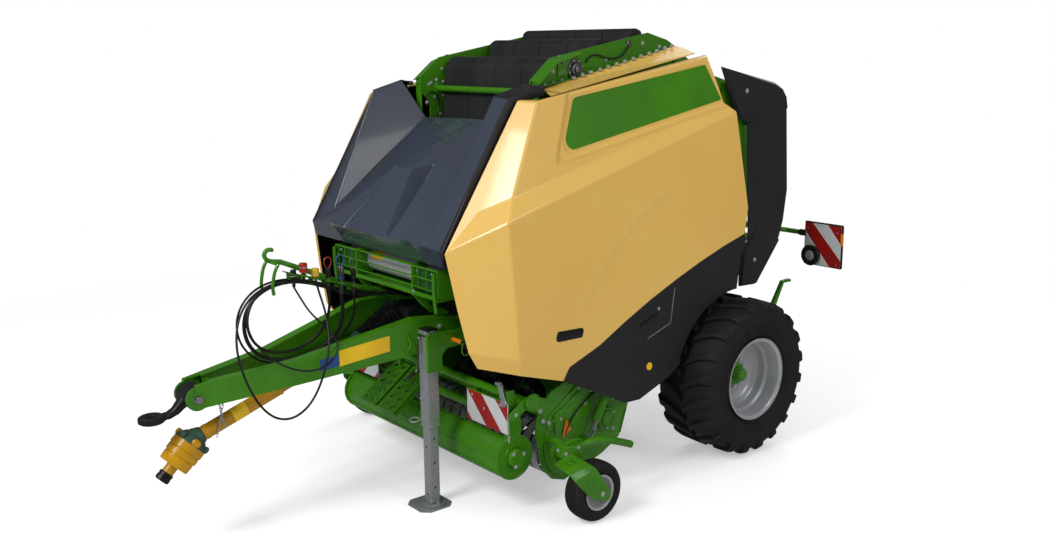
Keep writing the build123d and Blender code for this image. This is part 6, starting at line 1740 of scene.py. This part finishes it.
# hook at its end, prongs that drop beside the bundle, a bracket with a socket for each coupler
holder.append(tube(((0, -1.615, 1.672), (0, -1.665, 1.676), (0, -1.700, 1.694),
                    (0, -1.712, 1.722), (0, -1.700, 1.746), (0, -1.676, 1.756),
                    (0, -1.656, 1.748)), 0.0135, sides=4))
holder.append(loft([((0, -1.658, 1.749), (0.0115, 0, 0), (0, 0.004, 0.011)),
                    ((0, -1.650, 1.745), (0.009, 0, 0), (0, 0.003, 0.009))], 16))
holder.append(bar((-0.072, -1.668, 1.672), (0.084, -1.668, 1.672), 0.009, 20))
for x in (-0.072, 0.084):
    holder.append(tube(((x, -1.660, 1.672), (x, -1.684, 1.640), (x, -1.700, 1.575),
                        (x, -1.708, 1.520), (x, -1.700, 1.486)), 0.0105))
HOLDER_SLOPE = -0.3265      # rise per metre to the rear of the brackets along the bar
for y, z, grip_r, *_ in COUPLERS:
    top = HOLDER_SLOPE * (y + 1.110) + 1.4515
    plate = soften(across(((y - 0.030, top + 0.0098), (y + 0.030, top - 0.0098),
                           (y + 0.030, top - 0.0158), (y - 0.030, top + 0.0038)), 0.004, 0.116),
                   0.001)
    cut(plate, bar((COUPLER_X, y, z - 0.1), (COUPLER_X, y, z + 0.15), grip_r + 0.0005, 28))
    holder.append(plate)
    holder.append(soften(across(((y - 0.004, top - 0.045), (y + 0.004, top - 0.045),
                                 (y + 0.004, top), (y - 0.004, top)), 0.004, 0.055), 0.001))
    holder.append(turned(((-0.004, grip_r + 0.0008), (-0.004, grip_r + 0.007),
                          (0.006, grip_r + 0.007), (0.007, grip_r + 0.0055),
                          (0.007, grip_r + 0.0008)), (COUPLER_X, y, top + 0.004), UP, 28))
done([paint(p, "green enamel") for p in holder], "hose_holder_piece", "chassis", "frame_green",
     "hose_holder")

# ties round the bundle on the bar, and the loops on three of the couplers
ties = []
for y, z in ((-0.720, 1.332), (-0.960, 1.376), (-1.330, 1.486)):
    loop = [(x, y + dy, z + dz) for x, dy, dz in (
        (-0.058, 0, -0.006), (-0.064, 0, 0.004), (-0.060, 0, 0.014), (-0.030, 0, 0.020),
        (0.040, 0, 0.020), (0.074, 0, 0.016), (0.090, 0, 0.006), (0.088, 0, -0.006),
        (0.060, 0, -0.015), (0.0, 0, -0.016), (-0.040, 0, -0.014), (-0.058, 0, -0.006))]
    ties.append(paint(tube(loop, 0.0022, smooth=False, sides=1), "smooth black polypropylene"))
for (y, z), shade in (((-1.330, 1.605), "red plastic"), ((-1.150, 1.575), "green enamel"),
                           ((-1.240, 1.607), "blue plastic")):
    ties.append(paint(tube([(COUPLER_X, y + dy, z + dz) for dy, dz in (
        (-0.010, 0), (-0.030, 0.030), (-0.022, 0.062), (0, 0.070), (0.022, 0.062),
        (0.030, 0.030), (0.010, 0))], 0.0035), shade))
done(ties, "bundle_ties", "chassis", "boot_black")

# fixed hoses clipped to the front beam, going out under the covers
fixed = []
for i, (z, r, x_end) in enumerate(((1.310, 0.011, 0.610), (1.288, 0.009, 0.610),
                                   (1.268, 0.009, 0.610), (1.250, 0.008, 0.600))):
    fixed.append(tube(((0.100, -0.515, z), (0.190, -0.535 - 0.004 * i, z + 0.004),
                       (0.300, -0.548, z - 0.016), (0.430, -0.548, z - 0.030),
                       (0.540, -0.535, z - 0.022), (x_end, -0.500, z - 0.004),
                       (x_end + 0.010, -0.440, z)), r))
for x in (0.300, 0.460):
    fixed.append(soften(box(x, x + 0.016, -0.566, -0.518, 1.205, 1.305), 0.004))
done([paint(p, "hose rubber") for p in fixed], "beam_hoses", "chassis", "hose_rubber")

# ------------------------------------------------------------ top rollers
BELT_T = 0.009
# y, z, radius; a negative radius is a turn of the other hand, down inside the chamber
PATH = ((0.060, 1.500, 0.070), (0.200, 2.780, 0.100), (0.395, 2.560, -0.040),
        (0.570, 2.940, 0.056), (0.735, 2.640, -0.040), (0.887, 3.030, 0.038),
        (1.120, 2.780, 0.050))


def belt_line(path, grow):
    """Closed line round the rollers, grown outwards, as points in (y, z)."""
    normals = []
    count = len(path)
    for i in range(count):
        a, b = path[i], path[(i + 1) % count]
        run = Vector((b[0] - a[0], b[1] - a[1]))
        gap = (a[2] + grow) - (b[2] + grow)
        side = Vector((-run.y, run.x))
        size = run.length_squared
        normals.append((run * gap + side * math.sqrt(size - gap * gap)) / size)
    line = []
    for i in range(count):
        before, after = normals[i - 1], normals[i]
        start = math.atan2(before.y, before.x)
        turn = math.atan2(after.y, after.x) - start
        while turn > math.pi:
            turn -= 2 * math.pi
        while turn < -math.pi:
            turn += 2 * math.pi
        radius = path[i][2] + grow
        for k in range(13):
            angle = start + turn * k / 12
            line.append((path[i][0] + radius * math.cos(angle),
                         path[i][1] + radius * math.sin(angle)))
    return line


def belt(path, x0, x1):
    """An endless belt of even thickness round the rollers."""
    inside, outside = belt_line(path, 0.0004), belt_line(path, BELT_T)
    count = len(inside)
    verts = [(x, *p) for x in (x0, x1) for line in (inside, outside) for p in line]
    faces = []
    for i in range(count):
        j = (i + 1) % count
        faces += [(i, j, count + j, count + i),
                  (2 * count + i, 3 * count + i, 3 * count + j, 2 * count + j),
                  (i, 2 * count + i, 2 * count + j, j),
                  (count + i, count + j, 3 * count + j, 3 * count + i)]
    return from_faces(verts, faces)


BELTS = 4
BELT_W = 1.176 / BELTS
TAIL_PATH = ((1.440, 0.920, 0.060), (1.400, 2.650, 0.060), (1.880, 2.540, 0.045),
             (2.010, 1.900, 0.045), (1.900, 1.280, 0.045))
for path, name, body, stands in ((PATH, "belts_front", "chassis", "chamber_belts"),
                                 (TAIL_PATH, "belts_rear", "tailgate", "tailgate_belts")):
    loops = [soften(belt(path, -0.588 + BELT_W * i + 0.003, -0.588 + BELT_W * (i + 1) - 0.003),
                    0.0012, 1, 60) for i in range(BELTS)]
    done([paint(p, "belt rubber") for p in loops], name, body, "belt_black", stands, 40)

# wings: rolled flange along the front, bolts, bearing, cable
wing, wing_bolts, wing_dark = [], [], []
slope = (3.047 - 2.884) / (0.962 - 0.059)
wing.append(sheet({"a": (0.632, -0.110, 2.742), "b": (0.720, -0.112, 2.722),
                   "c": (0.632, 0.057, 2.881), "d": (0.716, 0.052, 2.856),
                   "e": (0.632, 0.300, 2.925), "f": (0.668, 0.298, 2.912)},
                  (("a", "b", "d", "c"), ("c", "d", "f", "e")), (0, -0.6, 0.8), 0.005, fold=0.006))
wing.append(tube([(0.626, *p) for p in ((-0.108, 2.743), (0.059, 2.881), (0.500, 2.961),
                                        (0.962, 3.0425), (1.156, 2.995))], 0.0045, smooth=False))
wing.append(soften(box(0.632, 0.700, -0.100, -0.094, 2.440, 2.735), 0.002))
wing.append(soften(across(((-0.108, 2.640), (-0.108, 2.700), (0.060, 2.712), (0.060, 2.640)),
                          0.632, 0.010), 0.002))
for y, z in ((-0.085, 2.705), (-0.020, 2.717), (0.055, 2.728), (0.130, 2.740)):
    wing_bolts.append(bolt((0.665, y, z), (0.1, 0, 1), 0.010, 0.010))
for i in range(13):
    y = 0.200 + 0.078 * i
    wing_bolts.append(bolt((0.703 + 0.004 * (i % 2), y, 2.696 + (y + 0.060) * 0.2144),
                           (0.05, -0.2, 1), 0.012, 0.014))
for y, z in ((0.080, 2.800), (0.150, 2.850), (0.560, 2.870), (0.760, 2.960), (0.910, 2.975),
             (1.080, 2.950), (0.400, 2.790), (-0.040, 2.690)):
    wing_bolts.append(bolt((0.632, y, z), (1, 0, 0), 0.010, 0.008))
    wing_bolts.append(bolt((0.620, y, z), (-1, 0, 0), 0.008, 0.006))
wing_dark.append(paint(turned(((0.0, 0.0), (0.0, 0.070), (0.010, 0.070), (0.013, 0.066),
                               (0.013, 0.050), (0.020, 0.046), (0.026, 0.040), (0.028, 0.026),
                               (0.040, 0.024), (0.042, 0.020), (0.042, 0.0)),
                              (0.632, 0.270, 2.808), (1, 0, 0), 48), "bare drawn steel"))
for i in range(8):
    angle = math.radians(45 * i + 20)
    wing_dark.append(bolt((0.645, 0.270 + 0.059 * math.cos(angle), 2.808 + 0.059 * math.sin(angle)),
                          (1, 0, 0), 0.006, 0.006, False))
wing.append(soften(across(((0.120, 2.760), (0.120, 2.900), (0.140, 2.905), (0.430, 2.860),
                           (0.430, 2.800)), 0.632, 0.008), 0.003))
wing_dark.append(paint(tube(((0.646, 0.360, 2.850), (0.652, 0.380, 2.890), (0.652, 0.460, 2.905),
                             (0.652, 0.560, 2.870), (0.652, 0.680, 2.880), (0.652, 0.740, 2.930),
                             (0.640, 0.765, 2.965)), 0.006), "hose rubber"))
wing_dark.append(soften(paint(box(0.630, 0.646, 0.750, 0.790, 2.955, 2.990), "bare drawn steel"),
                        0.003))
done(both(join([paint(p, "green enamel") for p in wing])), "wing_edges", "chassis", "frame_green")
done(both(join(wing_bolts)), "wing_bolts", "chassis", "zinc")
done(both(join(wing_dark)), "wing_bearings", "chassis", "shaft_steel")
# clamp and bolts of the tube between the wings, and a cable down the right wing's inside
clamps = []
for side in (1, -1):
    clamps.append(paint(turned(((0.0, 0.0), (0.0, 0.044), (0.008, 0.044), (0.010, 0.040),
                                (0.010, 0.0)), (side * 0.620, 0.045, 2.660), (-side, 0, 0), 36),
                        "green enamel"))
    for y, z in ((-0.020, 2.700), (0.030, 2.722), (0.090, 2.706), (0.010, 2.600), (0.085, 2.610),
                 (0.060, 2.470), (-0.060, 2.560)):
        clamps.append(bolt((side * 0.620, y, z), (-side, 0, 0), 0.010, 0.008))
clamps.append(paint(tube(((-0.612, -0.075, 2.600), (-0.608, -0.040, 2.640), (-0.606, 0.010, 2.630),
                          (-0.606, 0.045, 2.560), (-0.606, 0.030, 2.480), (-0.610, -0.020, 2.440)),
                         0.005), "hose rubber"))
done(clamps, "cross_tube_clamps", "chassis", "zinc")

# --------------------------------------------------------------- rear lights
panel = round_corners(((0.980, 1.255), (1.330, 1.255), (1.330, 1.600), (0.980, 1.600)),
                      (0.012, 0.012, 0.012, 0.012), 4)
face = round_corners(((0.987, 1.262), (1.318, 1.262), (1.318, 1.588), (0.987, 1.588)),
                     (0.014, 0.014, 0.014, 0.014), 4)
light = [paint(soften(solid([(x, 2.412, z) for x, z in panel], (0, 0.012, 0)), 0.003),
               "smooth black polypropylene"),
         paint(solid([(x, 2.4112, z) for x, z in face], (0, 0.0136, 0)), "white sheeting")]
# red fields of a board, from its lower inner corner
fields = (
    ((0.007, 0.322), (0.017, 0.333), (0.074, 0.333), (0.338, 0.064), (0.338, 0.017),
     (0.328, 0.007), (0.240, 0.007), (0.007, 0.268)),
    ((0.215, 0.333), (0.328, 0.333), (0.338, 0.322), (0.338, 0.190)),
)
for y, away in ((2.4113, -0.001), (2.4247, 0.001)):
    light += striped(0.980, 1.255, y, away, fields, "red sheeting")
for u, v in ((0.030, 0.290), (0.160, 0.318), (0.300, 0.280), (0.300, 0.200), (0.180, 0.022),
             (0.300, 0.030), (0.022, 0.220)):
    light.append(bolt((0.980 + u, 2.4105, 1.255 + v), (0, -1, 0), 0.005, 0.002, False))
lamp_body = turned(((0.0, 0.0), (0.0, 0.070), (0.006, 0.078), (0.030, 0.082), (0.036, 0.078),
                    (0.036, 0.0)), (1.060, 2.409, 1.335), (0, -1, 0), 48)
lamp_face = turned(((0.036, 0.0), (0.036, 0.040), (0.040, 0.036), (0.0405, 0.0)),
                   (1.060, 2.409, 1.335), (0, -1, 0), 40)
rear_lamp = turned(((0.0, 0.0), (0.0, 0.070), (0.016, 0.070), (0.022, 0.060), (0.0225, 0.0)),
                   (1.075, 2.4245, 1.345), (0, 1, 0), 48)
rear_amber = turned(((0.0, 0.0), (0.0, 0.034), (0.0225, 0.030), (0.0228, 0.0)),
                    (1.190, 2.4245, 1.345), (0, 1, 0), 32)
light += [paint(lamp_body, "smooth black polypropylene"),
          paint(lamp_face, "pale grey plastic and painted edge highlight"), paint(rear_lamp, "red plastic"),
          paint(rear_amber, "amber lens"),
          paint(soften(box(1.316, 1.333, 2.402, 2.416, 1.440, 1.535), 0.002), "amber lens"),
          paint(soften(box(1.018, 1.100, 2.4245, 2.432, 1.560, 1.590), 0.002), "red plastic")]
done(both(join(light)), "rear_boards", "tailgate", "board_red", "rear_lights")
socket = [soften(paint(bar((0.930, 2.420, 1.500), (0.992, 2.420, 1.500), 0.026, 28),
                       "smooth black polypropylene"), 0.004),
          paint(soften(box(0.975, 1.060, 2.4245, 2.430, 1.470, 1.530), 0.002), "green enamel")]
done(both(join(socket)), "rear_board_sockets", "tailgate", "boot_black")

# dark rolled ends on the ramp's straps
ends = [paint(sideways(2.540, 1.0605, 0.0075, side * 0.738, side * 0.772, 20),
              "smooth black polypropylene") for side in (1, -1)]
done(ends, "ramp_strap_ends", "ramp", "boot_black")

# ----------------------------------------------------- platform of the front
tread = soften(box(-0.655, -0.435, -0.965, -0.695, 1.0425, 1.0455), 0.001)
holes, rings = [], []
for row in range(5):
    for column in range(4):
        spot = (-0.625 + 0.0535 * column + 0.013 * (row % 2), -0.935 + 0.0525 * row, 1.0455)
        if spot[0] > -0.450:
            continue
        rings.append(turned(((-0.001, 0.014), (-0.001, 0.021), (0.004, 0.018), (0.005, 0.0145)),
                            spot, UP, 20))
        holes.append(bar((spot[0], spot[1], 1.03), (spot[0], spot[1], 1.06), 0.0145, 20))
cut(tread, join(holes))
rims = [soften(box(-0.657, -0.433, -0.967, -0.961, 1.020, 1.058), 0.002),
        soften(box(-0.439, -0.433, -0.967, -0.693, 1.020, 1.058), 0.002)]
done([paint(p, "green enamel") for p in (tread, *rings, *rims)], "platform_tread", "chassis",
     "frame_green")
